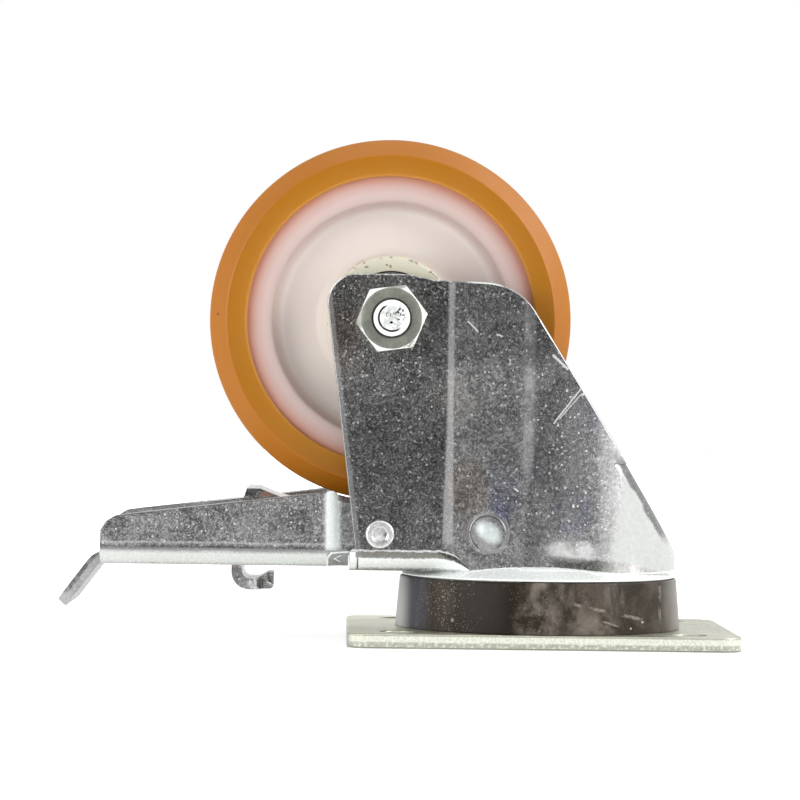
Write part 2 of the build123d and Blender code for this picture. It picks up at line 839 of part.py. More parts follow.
def make_brake_shoe():
    """One folded strip: braking face, stem, hooked tail and foot."""
    outer = shoe_face_radius + shoe_sheet
    face_upper = on_shoe(shoe_face_radius, shoe_upper_angle)
    face_middle = on_shoe(shoe_face_radius, shoe_middle_angle)
    face_lower = on_shoe(shoe_face_radius, shoe_lower_angle)
    back_upper = on_shoe(outer, shoe_upper_angle - 1.5)
    back_middle = on_shoe(outer, shoe_middle_angle)
    back_lower = on_shoe(outer, shoe_lower_angle + 1.5)
    foot_x = face_lower[0] - shoe_sheet
    edges = [
        ThreePointArc(face_upper, face_middle, face_lower),
        Polyline(
            face_lower,
            (face_lower[0], foot_seat),
            (foot_x - shoe_foot_length, foot_seat),
            (foot_x - shoe_foot_length, foot_seat + shoe_sheet),
            (foot_x, foot_seat + shoe_sheet),
            back_lower,
        ),
        ThreePointArc(back_lower, back_middle, back_upper),
        Polyline(
            back_upper,
            (tail_front, pedal_top_of_web + 5.0),
            (tail_front, pedal_top_of_web + 1.0),
            (tail_back, pedal_top_of_web + 1.0),
            (tail_back, pedal_top_of_web + 5.0),
            (face_upper[0] - shoe_cap_length, face_upper[1]),
            face_upper,
        ),
    ]
    wires = [edge for curve in edges for edge in curve.edges()]
    shoe = extrude(side_plane() * make_face(wires), amount=shoe_width / 2, both=True)
    return shoe + make_shoe_tail() - rivet_holes(foot_seat, foot_seat + shoe_sheet)


def make_shoe_tail():
    hook_bottom = pedal_underside - hook_drop
    tip = tail_back + hook_length
    wide_end = tail_back + 0.7 * hook_length
    stem_top = pedal_top_of_web + 3.0
    bend = shoe_sheet + 2.0
    points = [
        (tail_back, stem_top),
        (tail_back, hook_bottom),
        (wide_end, hook_bottom),
        (wide_end, hook_bottom + shoe_sheet),
        (tail_front, hook_bottom + shoe_sheet),
        (tail_front, stem_top),
    ]
    tail = side_profile(points, [0, bend, 0, 0, 2.0, 0], shoe_tail_width)
    tongue_points = [
        (tail_front + 1.0, hook_bottom),
        (tip, hook_bottom),
        (tip, hook_bottom + shoe_sheet + hook_tip_rise),
        (tip - 0.5 * shoe_sheet, hook_bottom + shoe_sheet + hook_tip_rise),
        (wide_end - 1.0, hook_bottom + shoe_sheet),
        (tail_front + 1.0, hook_bottom + shoe_sheet),
    ]
    tongue = side_profile(tongue_points, [0, 1.2, 0.4, 0.4, 1.0, 0], shoe_tongue_width)
    return tail + tongue


def make_shoe_rivets():
    radius = rivet_diameter / 2
    head = rivet_head_diameter / 2
    top = foot_seat + shoe_sheet
    points = [
        (0, pedal_underside),
        (radius, pedal_underside),
        (radius, top),
        (head, top),
        (head, top + rivet_head_height),
        (0, top + rivet_head_height),
    ]
    rivet = turned_about_swivel(points, [0, 0, 0, 0.2, 1.4, 0])
    return Compound(children=[Pos(x, y, 0) * rivet for x, y in rivet_places()])


def make_detent_leaf():
    """Spring leaf that bears on the pivot sleeve and holds the pedal where it is put."""
    back = on_shoe(shoe_face_radius, shoe_lower_angle)[0] - shoe_sheet - shoe_foot_length - 1.5
    front = pivot_x + 4.5
    z = pedal_top_of_web + detent_leaf_sheet / 2
    leaf = Pos((back + front) / 2, 0, z) * Box(front - back, detent_leaf_width, detent_leaf_sheet)
    leaf = fillet(leaf.edges().filter_by(Axis.Z), 1.5)
    return leaf - rivet_holes(pedal_top_of_web, foot_seat)


def make_brake_pin():
    radius = pivot_pin_diameter / 2
    pin = axle_cylinder(radius, -leg_outer, leg_outer, pivot_x, pivot_z)
    for side in (-1, 1):
        pin += Pos(pivot_x, side * leg_outer, pivot_z) * Rot(-90 * side, 0, 0) * pin_head()
    return pin


def pin_head():
    """Upset rivet head with a countersunk dish in its face, standing on z = 0."""
    radius = pivot_head_diameter / 2
    points = [
        (0, 0),
        (radius, 0),
        (radius, pivot_head_height),
        (radius * 0.62, pivot_head_height),
        (radius * 0.5, pivot_head_height * 0.55),
        (0, pivot_head_height * 0.75),
    ]
    outline = FilletPolyline(*points, radius=[0, 0, 0.7, 0.15, 0.2, 0], close=True)
    return revolve(side_plane() * make_face(outline), Axis.Z)


def make_pivot_sleeve():
    half = ear_inner - 0.3
    tube = axle_cylinder(pivot_sleeve_diameter / 2, -half, half, pivot_x, pivot_z)
    return tube - axle_cylinder(
        pivot_pin_diameter / 2 + bolt_clearance / 2, -half - 1, half + 1, pivot_x, pivot_z
    )


def make_main_balls():
    return Pos(0, 0, main_ball_z) * ball_ring(main_ball_radius, main_pitch_radius, main_ball_count)


def make_upper_balls():
    return Pos(0, 0, upper_ball_z) * ball_ring(upper_ball_radius, upper_pitch_radius, upper_ball_count)


makers = {
    "top_plate": make_top_plate,
    "kingpin": make_kingpin,
    "kingpin_sleeve": make_kingpin_sleeve,
    "kingpin_nut": make_kingpin_nut,
    "retaining_cup": make_retaining_cup,
    "seal_ring": make_seal_ring,
    "main_balls": make_main_balls,
    "upper_balls": make_upper_balls,
    "fork": make_fork,
    "axle_bolt": make_axle_bolt,
    "axle_nut": make_axle_nut,
    "centre_tube": make_centre_tube,
    "axle_spacer_near": lambda: make_axle_spacer(-1),
    "axle_spacer_far": lambda: make_axle_spacer(1),
    "bearing_inner_near": lambda: make_bearing_inner(-1),
    "bearing_inner_far": lambda: make_bearing_inner(1),
    "bearing_outer_near": lambda: make_bearing_outer(-1),
    "bearing_outer_far": lambda: make_bearing_outer(1),
    "bearing_seal_near": lambda: make_bearing_seal(-1),
    "bearing_seal_far": lambda: make_bearing_seal(1),
    "bearing_balls_near": lambda: make_bearing_balls(-1),
    "bearing_balls_far": lambda: make_bearing_balls(1),
    "wheel_centre": make_wheel_centre,
    "tread": make_tread,
    "brake_pedal": make_brake_pedal,
    "brake_shoe": make_brake_shoe,
    "shoe_rivets": make_shoe_rivets,
    "detent_leaf": make_detent_leaf,
    "brake_pin": make_brake_pin,
    "pivot_sleeve": make_pivot_sleeve,
}

os.makedirs("parts", exist_ok=True)
for node, maker in makers.items():
    export_step(maker(), f"parts/{node}.step")
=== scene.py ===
import json
import math

import bmesh
import bpy
from mathutils import Matrix, Vector

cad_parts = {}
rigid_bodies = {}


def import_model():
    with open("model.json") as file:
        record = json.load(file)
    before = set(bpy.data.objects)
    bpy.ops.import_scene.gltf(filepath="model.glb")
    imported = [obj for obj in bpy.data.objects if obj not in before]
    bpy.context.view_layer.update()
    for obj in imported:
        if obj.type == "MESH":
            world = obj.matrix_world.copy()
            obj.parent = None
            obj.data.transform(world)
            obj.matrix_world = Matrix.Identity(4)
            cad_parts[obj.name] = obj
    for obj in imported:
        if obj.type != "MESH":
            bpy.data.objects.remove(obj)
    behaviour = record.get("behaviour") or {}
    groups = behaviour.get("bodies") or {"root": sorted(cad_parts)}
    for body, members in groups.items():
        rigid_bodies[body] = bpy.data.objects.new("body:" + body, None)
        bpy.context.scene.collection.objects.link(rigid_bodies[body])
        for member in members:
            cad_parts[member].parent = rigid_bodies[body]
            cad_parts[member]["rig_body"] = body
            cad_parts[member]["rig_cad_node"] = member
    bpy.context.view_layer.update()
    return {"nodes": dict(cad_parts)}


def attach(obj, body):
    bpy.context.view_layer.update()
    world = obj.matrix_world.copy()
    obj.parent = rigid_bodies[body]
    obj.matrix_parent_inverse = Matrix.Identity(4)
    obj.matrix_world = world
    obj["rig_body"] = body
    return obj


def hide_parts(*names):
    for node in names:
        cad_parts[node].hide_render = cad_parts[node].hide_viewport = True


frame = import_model()
mm = 0.001
axle = (-42.5, 0.0, 89.0)
print("frame loaded")


def tint(red, green, blue):
    # a colour given as it shows on a screen, 0 to 255
    def linear(value):
        value = value / 255
        return value / 12.92 if value <= 0.04045 else ((value + 0.055) / 1.055) ** 2.4

    return (linear(red), linear(green), linear(blue), 1.0)


def grey(value):
    return (value, value, value, 1.0)


def maths(operation, swapped=False):
    # makes a method that puts out the operation on a field and any other value
    def method(field, *other):
        inputs = (*other, field) if swapped else (field, *other)
        return nodeField(
            field.tree, "ShaderNodeMath", dict(enumerate(inputs)), operation=operation
        )

    return method


class Field:
    # the output of a node, so that sums over the surface read as plain arithmetic
    def __init__(self, tree, socket):
        self.tree = tree
        self.socket = socket

    __add__ = maths("ADD")
    __sub__ = maths("SUBTRACT")
    __rsub__ = maths("SUBTRACT", True)
    __mul__ = maths("MULTIPLY")
    __truediv__ = maths("DIVIDE")
    __pow__ = maths("POWER")
    __lt__ = maths("LESS_THAN")
    __abs__ = maths("ABSOLUTE")
    root = maths("SQRT")
    sine = maths("SINE")

    def clamped(self):
        self.socket.node.use_clamp = True
        return self


def setInput(socket, value):
    if isinstance(value, Field):
        value.tree.links.new(value.socket, socket)
    else:
        socket.default_value = value


def addNode(tree, kind, inputs=None, **settings):
    made = tree.nodes.new(kind)
    for key, value in settings.items():
        setattr(made, key, value)
    for key, value in (inputs or {}).items():
        setInput(made.inputs[key], value)
    return made


def nodeField(tree, kind, inputs=None, output=0, **settings):
    return Field(tree, addNode(tree, kind, inputs, **settings).outputs[output])


def treeOf(*values):
    return next(value.tree for value in values if isinstance(value, Field))


def remap(value, low, high, newLow=0.0, newHigh=1.0, smooth=True):
    kind = "SMOOTHSTEP" if smooth else "LINEAR"
    inputs = {"Value": value, 1: low, 2: high, 3: newLow, 4: newHigh}
    return nodeField(value.tree, "ShaderNodeMapRange", inputs, interpolation_type=kind)


def rise(value, low, high, *other, **more):
    # the same with the limits in mm
    return remap(value, low * mm, high * mm, *other, **more)


def within(value, limit, soft):
    return rise(value, limit + soft, limit - soft)


def between(value, low, high, soft):
    return rise(value, low - soft, low + soft) * rise(value, high + soft, high - soft)


def blendColour(amount, first, second):
    tree = treeOf(amount, first, second)
    inputs = {0: amount, 6: first, 7: second}
    return nodeField(tree, "ShaderNodeMix", inputs, output=2, data_type="RGBA")


def paint(base, *layers):
    # lays colours over the base, each given with its share
    for amount, colour in layers:
        base = blendColour(amount, base, colour)
    return base


def blendValue(amount, first, second):
    tree = treeOf(amount, first, second)
    inputs = {0: amount, 2: first, 3: second}
    return nodeField(tree, "ShaderNodeMix", inputs, data_type="FLOAT")


def highest(*masks):
    tree = treeOf(*masks)
    result = masks[0]
    for mask in masks[1:]:
        result = nodeField(tree, "ShaderNodeMath", {0: result, 1: mask}, operation="MAXIMUM")
    return result


def colourRamp(value, stops):
    # each stop is its share and a screen colour
    made = addNode(value.tree, "ShaderNodeValToRGB", {0: value})
    elements = made.color_ramp.elements
    while len(elements) < len(stops):
        elements.new(0.5)
    for element, (share, *colour) in zip(elements, stops):
        element.position = share
    for element, (share, *colour) in zip(elements, stops):
        element.color = tint(*colour)
    return Field(value.tree, made.outputs[0])


def noise(place, scale, detail=2.0, roughness=0.5, distortion=0.0):
    inputs = {
        "Vector": place,
        "Scale": scale,
        "Detail": detail,
        "Roughness": roughness,
        "Distortion": distortion,
    }
    return nodeField(place.tree, "ShaderNodeTexNoise", inputs)


def cells(place, scale):
    # distance to the nearest cell's middle, and two random values for that cell
    inputs = {"Vector": place, "Scale": scale, "Randomness": 1.0}
    made = addNode(place.tree, "ShaderNodeTexVoronoi", inputs).outputs
    parts = addNode(
        place.tree, "ShaderNodeSeparateColor", {0: Field(place.tree, made["Color"])}
    ).outputs
    return [Field(place.tree, output) for output in (made["Distance"], parts[0], parts[1])]


def mapped(place, scale=(1, 1, 1), turn=(0, 0, 0), shift=(0, 0, 0)):
    inputs = {"Vector": place, "Scale": scale, "Rotation": turn, "Location": shift}
    return nodeField(place.tree, "ShaderNodeMapping", inputs)


def vectors(operation, first, second, output=0):
    tree = treeOf(first, second)
    inputs = {0: first, 1: second}
    return nodeField(tree, "ShaderNodeVectorMath", inputs, output, operation=operation)


def axes(place):
    made = addNode(place.tree, "ShaderNodeSeparateXYZ", {0: place})
    return [Field(place.tree, output) for output in made.outputs]


def objectCoordinates(tree):
    return nodeField(tree, "ShaderNodeTexCoord", output="Object")


def newMaterial(name, **constants):
    material = bpy.data.materials.new(name)
    material.use_nodes = True
    tree = material.node_tree
    tree.nodes.clear()
    shader = tree.nodes.new("ShaderNodeBsdfPrincipled")
    output = tree.nodes.new("ShaderNodeOutputMaterial")
    tree.links.new(shader.outputs[0], output.inputs[0])
    for key, value in constants.items():
        shader.inputs[key.replace("_", " ")].default_value = value
    return material, tree, shader


def newGroup(name, inputs, outputs):
    # inputs with their default values; None makes a vector input
    group = bpy.data.node_groups.new(name, "ShaderNodeTree")
    for label, value in inputs.items():
        kind = "NodeSocketVector" if value is None else "NodeSocketFloat"
        socket = group.interface.new_socket(label, in_out="INPUT", socket_type=kind)
        if value is not None:
            socket.default_value = value
    for label in outputs:
        group.interface.new_socket(label, in_out="OUTPUT", socket_type="NodeSocketFloat")
    enter = group.nodes.new("NodeGroupInput")
    leave = group.nodes.new("NodeGroupOutput")
    given = {label: Field(group, enter.outputs[label]) for label in inputs}
    return group, given, leave.inputs


def useGroup(group, inputs):
    tree = inputs["Vector"].tree
    made = tree.nodes.new("ShaderNodeGroup")
    made.node_tree = group
    for key, value in inputs.items():
        setInput(made.inputs[key], value)
    return {output.name: Field(tree, output) for output in made.outputs}


print("node helpers ready")


def makeZincGroup():
    # zinc plating: bright crystal flecks, fibre-like marks, soft haze and fine grain
    group, given, out = newGroup(
        "zincFlecks",
        {"Vector": None, "Fleck Scale": 1500.0, "Fleck Cut": 0.6, "Haze Scale": 110.0},
        ("Flecks", "Fibres", "Haze", "Grain", "Cloud"),
    )
    place = given["Vector"]
    haze = remap(noise(place, given["Haze Scale"], 5.0, 0.62, 0.5), 0.35, 0.7)
    cloud = noise(place, given["Haze Scale"] * 0.5, 4.0, 0.6)
    # more flecks where the haze is strong
    low = given["Fleck Cut"] + (haze + cloud) * -0.035
    flecks = remap(noise(place, given["Fleck Scale"], 1.0, 0.8), low, low + 0.2)
    distance, red = cells(place, 900.0)[:2]
    spark = remap(distance, 0.34, 0.2) * remap(red, 0.5, 0.9, smooth=False)
    line = remap(abs(noise(place, 200.0, 1.0, 0.5, 1.5) - 0.5), 0.008, 0.002)
    where = remap(noise(place, 330.0, 1.0, 0.5), 0.5, 0.56)
    setInput(out["Flecks"], highest(flecks, spark))
    setInput(out["Fibres"], line * where)
    setInput(out["Haze"], haze)
    setInput(out["Cloud"], remap(cloud, 0.38, 0.64))
    setInput(out["Grain"], noise(place, given["Fleck Scale"] * 0.25, 4.0, 0.7))
    return group


def makeDustGroup():
    # sparse specks of dirt: small round dots in a share of the cells
    group, given, out = newGroup(
        "dustSpecks", {"Vector": None, "Scale": 150.0, "Size": 0.1, "Share": 0.1}, ("Specks",)
    )
    distance, red, green = cells(given["Vector"], given["Scale"])
    wide = given["Size"] * (green + 0.4)
    dots = remap(distance, wide, wide * 0.5)
    setInput(out["Specks"], dots * (red < given["Share"]))
    return group


def makeStrokeGroup():
    # one soft-edged stroke from a start to an end in the plane across Y
    group, given, out = newGroup(
        "stroke", {"Vector": None, "Start": None, "End": None, "Width": 0.3 * mm}, ("Mask",)
    )
    place, start, end = [
        vectors("MULTIPLY", given[label], (1.0, 0.0, 1.0)) for label in ("Vector", "Start", "End")
    ]
    away = vectors("SUBTRACT", place, start)
    along = vectors("SUBTRACT", end, start)
    reach = vectors("DOT_PRODUCT", away, along, "Value")
    share = (reach / vectors("DOT_PRODUCT", along, along, "Value")).clamped()
    nearest = nodeField(
        group, "ShaderNodeVectorMath", {0: along, "Scale": share}, operation="SCALE"
    )
    off = vectors("DISTANCE", away, nearest, "Value")
    setInput(out["Mask"], remap(off, given["Width"], given["Width"] * 0.4))
    return group


zincGroup = makeZincGroup()
dustGroup = makeDustGroup()
strokeGroup = makeStrokeGroup()
print("shared effects ready")


def stroke(place, start, end, width):
    inputs = {
        "Vector": place,
        "Start": (start[0] * mm, 0.0, start[1] * mm),
        "End": (end[0] * mm, 0.0, end[1] * mm),
        "Width": width * mm,
    }
    return useGroup(strokeGroup, inputs)["Mask"]


def spot(place, x, z, wide, tall, turn=0.0, low=0.35, high=1.35):
    # soft-edged oval mask in the plane across Y, sizes in mm, turned about its middle
    parts = axes(place)
    right = parts[0] - x * mm
    up = parts[2] - z * mm
    cosine, sine = math.cos(turn), math.sin(turn)
    across = right * cosine + up * -sine
    along = right * sine + up * cosine
    return remap((across / (wide * mm)) ** 2.0 + (along / (tall * mm)) ** 2.0, high, low)


def strokes(place, marks):
    return highest(*[stroke(place, *mark) for mark in marks])


def spots(place, marks):
    return highest(*[spot(place, *mark) for mark in marks])


def wheelPolar(place):
    # distance from the axle's line, then the place across, above and along it
    x, y, z = axes(place)
    across = x - axle[0] * mm
    up = z - axle[2] * mm
    return (across * across + up * up).root(), across, up, y


def fromPoint(x, z, point):
    right = x - point[0] * mm
    up = z - point[1] * mm
    return (right * right + up * up).root()


def fromLine(x, z, line):
    # how far past a line: a point on it, then its direction across
    pointX, pointZ, acrossX, acrossZ = line
    return (x - pointX * mm) * acrossX + (z - pointZ * mm) * acrossZ


def zincMaterial(name, look, extra=None):
    # metal with pale dull flecks: where the pale share is high it stops mirroring;
    # a piece's own marks may also cover parts of it with a dull colour
    # the cover colours often carry painted highlights, painted reflections and painted shade
    material, tree, shader = newMaterial(name)
    place = objectCoordinates(tree)
    inputs = {"Vector": place, "Fleck Scale": 3600.0, "Fleck Cut": look.get("cut", 0.6)}
    zinc = useGroup(zincGroup, inputs)
    mix = zinc["Cloud"] * 0.5 + remap(zinc["Grain"], 0.35, 0.65, 0.0, 0.5)
    tone = noise(place, 28.0, 2.0)
    base = paint(
        look["dark"],
        (mix, look["light"]),
        (remap(tone, 0.55, 0.72), look.get("warm", look["light"])),
        (remap(tone, 0.42, 0.28), look.get("cool", look["dark"])),
    )
    pale = highest(
        zinc["Flecks"] * look.get("flecks", 0.8),
        zinc["Fibres"] * look.get("fibres", 0.5),
        zinc["Haze"] * look.get("haze", 0.12),
    )
    rough = remap(zinc["Grain"], 0.3, 0.7, look["roughness"] - 0.05, look["roughness"] + 0.08)
    cover, dull = grey(0.8), 0.0
    if extra:
        base, rough, pale, cover, dull = extra(place, base, rough, pale)
    base = paint(base, (pale, look.get("fleck", grey(0.82))), (dull, cover))
    setInput(shader.inputs["Base Color"], base)
    setInput(shader.inputs["Roughness"], rough)
    setInput(shader.inputs["Metallic"], (1.0 - pale * 0.85).clamped() * (1.0 - dull))
    height = zinc["Flecks"] * 0.4 + zinc["Grain"]
    height = height + noise(place, 95.0, 2.0) * look.get("wave", 3.0)
    inputs = {"Height": height, "Strength": look.get("bump", 0.35), "Distance": 0.02 * mm}
    setInput(shader.inputs["Normal"], nodeField(tree, "ShaderNodeBump", inputs))
    return material


# places in mm: a spot is x, z, half width, half height and turn; a stroke is its start, end
# and width; an edge is a point on it and the direction across
forkWear = {
    "blue": [(-11.0, 40.0, 3.5, 9.0), (7.0, 37.0, 6.0, 7.0)],
    "brown": [(-21.0, 43.0, 6.0, 9.0), (-55.0, 84.0, 4.0, 9.0)],
    "noseBorder": (0.0, 26.0, 1.0, -0.145),
    "noseCloud": (9.0, 26.5, 10.0, 3.4),
    "slopeEdge": (-8.5, 98.9, -0.8479, -0.5298),
    "backEdge": (-61.0, 101.2, 0.992, 0.126),
    "scratches": [
        ((2.1, 61.2), (9.3, 70.6), 0.3),
        ((3.6, 62.4), (9.6, 69.4), 0.2),
        ((-21.5, 88.6), (-18.9, 86.0), 0.35),
        ((-13.6, 85.1), (-12.2, 84.6), 0.3),
        ((1.7, 79.6), (5.6, 76.0), 0.5),
        ((-8.3, 43.2), (-7.5, 42.6), 0.4),
    ],
    "scuff": (-13.2, 27.6, 3.0, 2.2),
    "pip": (-15.4, 31.0),
    "pipRadius": 5.7,
    "pipHighlight": (-15.3, 31.3, 4.4, 3.0, 0.6, 0.1, 1.15),
    "pipShadeFillRing": (4.54, 4.8, 0.12),
    "crown": 20.0,
    "foldGap": ((-50.8, 20.6), (-50.8, 25.6), 0.3),
    "rimRadius": 38.15,
    "rimHeight": 18.9,
    "rimSlope": 0.3443,
    "deepTone": grey(0.25),
    "blueTone": (0.3, 0.31, 0.55, 1),
    "brownTone": (0.5, 0.38, 0.3, 1),
    "slopeShadeTone": grey(0.2),
    "slopeShadeDarkTone": grey(0.07),
    "slopeShadeFleckTone": grey(0.5),
    "noseReflectionTone": tint(193, 196, 191),
    "noseReflectionLightTone": tint(203, 207, 204),
    "pipTone": grey(0.13),
    "pipLightTone": grey(0.19),
    "pipFleckTone": grey(0.62),
    "pipHighlightTone": (0.7, 0.76, 0.76, 1),
    "pipShadeFillRingTone": grey(0.9),
    "foldShadeTone": (0.24, 0.245, 0.215, 1),
    "rimFoldHighlightTone": (0.93, 0.97, 0.95, 1),
}


def forkBendHighlights(x, z, blotch):
    # painted highlights on the bends where the flare starts and ends
    low = rise(z, 65.0, 28.0)
    off = abs(x + 26.0 * mm + low * (0.3 * mm))
    half = low * (0.6 * mm) + 0.9 * mm
    first = rise(off - half, 0.45, -0.45) * rise(z, 25.0, 29.0)
    second = between(x + rise(z, 55.0, 30.0) * (2.2 * mm), -6.3, -3.2, 0.9)
    second = second * (blotch * 0.6 + 0.4) * rise(z, 36.0, 60.0, 0.35, 1.0)
    return highest(first * 0.45, second * 0.38)


def forkTints(place, base, near):
    # blue and brown tints in the plating
    wander = remap(noise(place, 70.0, 3.0), 0.35, 0.6) * near
    blue = spots(place, forkWear["blue"]) * wander * 0.6
    brown = spots(place, forkWear["brown"]) * wander * 0.5
    return paint(base, (blue, forkWear["blueTone"]), (brown, forkWear["brownTone"]))


def forkNose(place, x, z, blotch):
    # painted reflection: bright skin over the nose with a speckled border, and painted shade in a
    # dimmer band down the slope
    border = noise(place, 260.0, 4.0, 0.7) * (5.0 * mm) + fromLine(x, z, forkWear["noseBorder"])
    slope = blotch * (0.5 * mm) + fromLine(x, z, forkWear["slopeEdge"])
    edge = rise(slope, 2.3, 1.6) * between(z, 29.5, 52.0, 2.0)
    return rise(border, 18.6, 22.6) * (1.0 - edge), edge


def forkPip(place, x, z, fleck, blotch):
    # made dull, with a painted soft highlight patch and a pale ring painted over the dark shading
    # line at the dome's foot
    radius = fromPoint(x, z, forkWear["pip"])
    patch = (blotch - 0.5) * 0.1 + spot(place, *forkWear["pipHighlight"])
    patch = patch * remap(fleck, 0.1, 0.6, 0.85, 1.0)
    ring = rise(z, 27.0, 29.0) * between(radius, *forkWear["pipShadeFillRing"])
    tone = paint(
        forkWear["pipTone"],
        (blotch, forkWear["pipLightTone"]),
        (fleck, forkWear["pipFleckTone"]),
        (patch, forkWear["pipHighlightTone"]),
        (ring * 0.8, forkWear["pipShadeFillRingTone"]),
    )
    return within(radius, forkWear["pipRadius"], 0.5), tone


def forkFold(place, x, z, fine):
    # the bend into the crown: painted reflection on the bright fold, painted shade in a dark line
    # above it and a painted highlight on the crease
    fade = rise(x, -29.5, -20.0, smooth=False)
    size = fade ** 2.4 * (-5.2 * mm) + 6.0 * mm
    share = fine * 0.16 + (z - forkWear["crown"] * mm) / size
    crease = remap(share, 0.89, 0.93) * remap(share, 1.03, 0.98) * rise(x, -21.5, -24.0)
    line = remap(share, 0.6, 0.68) * remap(share, 0.92, 0.88) * rise(x, -19.4, -20.4)
    fold = remap(share, 0.68, 0.58) * remap(share, 0.03, 0.22, 0.45, 1.0)
    end = rise(x, -51.1, -51.5) * between(z, 20.4, 25.4, 0.3)
    gap = stroke(place, *forkWear["foldGap"])
    return highest(fold * (1.0 - gap), crease * 0.8, end), highest(line, gap)


def forkRim(x, y, z, fine):
    # the crown's sloping rim, painted bright as a highlight, and painted shade on the foot of the
    # nose above it
    inside = forkWear["rimRadius"] * mm - (x * x + y * y).root()
    above = z - forkWear["rimHeight"] * mm - inside * forkWear["rimSlope"]
    reach = rise(x, 22.0, 38.5, 3.3 * mm, 0.2 * mm, smooth=False)
    foot = rise(fine * (2.0 * mm) + above - reach, 0.6, -0.6)
    foot = foot * rise(x, 0.0, 5.0) * rise(x, 37.5, 35.0)
    return rise(fine * (0.5 * mm) + above, 0.35, 0.15), foot


def forkMarks(place, base, rough, pale):
    x, y, z = axes(place)
    near = y < 0.0
    blotch = remap(noise(place, 160.0, 3.0), 0.35, 0.6)
    fine = noise(place, 700.0, 3.0, 0.7) - 0.5
    lower = rise(z, 84.0, 50.0) * rise(x, 6.0, -6.0)
    leg = rise(x, -24.0, -28.0) * rise(z, 84.0, 52.0, 0.3, 0.8)
    top = rise(z, 70.0, 84.0) * rise(x, 8.0, -2.0)
    deep = highest(lower * 0.5, leg, top * 0.7)
    base = forkTints(place, blendColour(deep, base, forkWear["deepTone"]), near)
    nose, edge = forkNose(place, x, z, blotch)
    # painted shade along the band down the slope
    base = blendColour(edge * 0.8, base, forkWear["slopeShadeTone"])
    cloud = spot(place, *forkWear["noseCloud"]) * remap(blotch, 0.0, 1.0, 0.2, 0.6)
    pale = pale * (deep * -0.3 + 1.0)
    pale = highest(pale * (edge * -0.3 + 1.0), cloud)
    lift = rise(x, 1.0, 8.0) * rise(z, 78.0, 66.0)
    fleck = highest(pale * (lift * 0.3 + 1.0), lift * 0.12)
    pip, pipTone = forkPip(place, x, z, fleck, blotch)
    # scratches on the near side, and a light strip down the back edge
    scuff = spot(place, *forkWear["scuff"]) * 0.35
    marks = highest(strokes(place, forkWear["scratches"]), scuff) * near * 0.8
    back = rise(fromLine(x, z, forkWear["backEdge"]), 1.9, 1.2) * 0.3
    fold, line = forkFold(place, x, z, fine)
    rim, foot = forkRim(x, y, z, fine)
    # painted shade at the nose's foot and above the fold; painted highlights on the fold and the
    # rim
    dark = highest(foot * 0.8, line)
    base = blendColour(dark, base, forkWear["foldShadeTone"])
    pale = highest(fleck, forkBendHighlights(x, z, blotch), marks, back, nose * 0.75)
    pale = pale * (dark * -0.6 + 1.0)
    bright = highest(fold, rim) * 0.94
    # dull cover for the painted nose reflection and the painted shade band down the slope
    quiet = highest(nose, edge * 0.9) * (1.0 - foot)
    slope = blendColour(fleck, forkWear["slopeShadeDarkTone"], forkWear["slopeShadeFleckTone"])
    # skin: painted reflection over the nose, with the painted shade band along the slope
    skin = paint(
        forkWear["noseReflectionTone"], (remap(fine, -0.2, 0.2), forkWear["noseReflectionLightTone"]), (edge, slope)
    )
    cover = paint(pipTone, (quiet, skin), (bright, forkWear["rimFoldHighlightTone"]))
    return base, rough, pale, cover, highest(bright, pip * 0.9, quiet * 0.95)


forkLook = {
    "dark": grey(0.54),
    "light": grey(0.9),
    "warm": (0.8, 0.72, 0.68, 1.0),
    "cool": (0.6, 0.62, 0.78, 1.0),
    "roughness": 0.24,
    "cut": 0.57,
    "haze": 0.1,
    "wave": 1.5,
    "bump": 0.25,
}
forkZinc = zincMaterial("forkZinc", forkLook, forkMarks)

# bands round the plate's edge: lower height, upper height and softness
plateEdge = {
    "torn": (0.35, 1.75, 0.3),
    "contactShade": (0.05, 0.48, 0.1),
    "lip": (3.4, 3.68, 0.08),
    "top": 3.7,
    "tone": tint(212, 214, 197),
    "sparkle": tint(232, 234, 221),
    "dark": tint(60, 60, 48),
    # painted shade colour for the rounded left corner
    "corner": tint(140, 138, 130),
    "rightTop": tint(178, 177, 160),
}


def plateMarks(place, base, rough, pale):
    # sheared edge: sparkling above, torn dark low down, with painted contact shade along the
    # bottom
    x, y, z = axes(place)
    low = z + (noise(place, 130.0, 3.0) - 0.5) * (0.5 * mm)
    ragged = remap(noise(place, 900.0, 3.0, 0.7), 0.34, 0.54, 0.1, 0.9)
    torn = between(low, *plateEdge["torn"]) * ragged
    contactShade = between(z, *plateEdge["contactShade"])
    lip = between(z, *plateEdge["lip"])
    sparkle = remap(noise(place, 1300.0, 2.0, 0.7), 0.4, 0.6)
    cover = paint(
        plateEdge["tone"],
        (sparkle, plateEdge["sparkle"]),
        (highest(torn * 0.6, contactShade * 0.8, lip * 0.5), plateEdge["dark"]),
        # painted shade where the rounded left corner turns away
        (rise(x, -52.2, -53.2, 0.0, 0.7), plateEdge["corner"]),
    )
    base = blendColour(rise(x, -30.0, 30.0), base, plateEdge["rightTop"])
    return base, rough, pale, cover, within(z, plateEdge["top"], 0.1) * 0.9


plateLook = {
    "dark": tint(196, 195, 172),
    "light": tint(220, 219, 198),
    "fleck": tint(238, 239, 226),
    "roughness": 0.36,
    "haze": 0.3,
}
plateZinc = zincMaterial("plateZinc", plateLook, plateMarks)

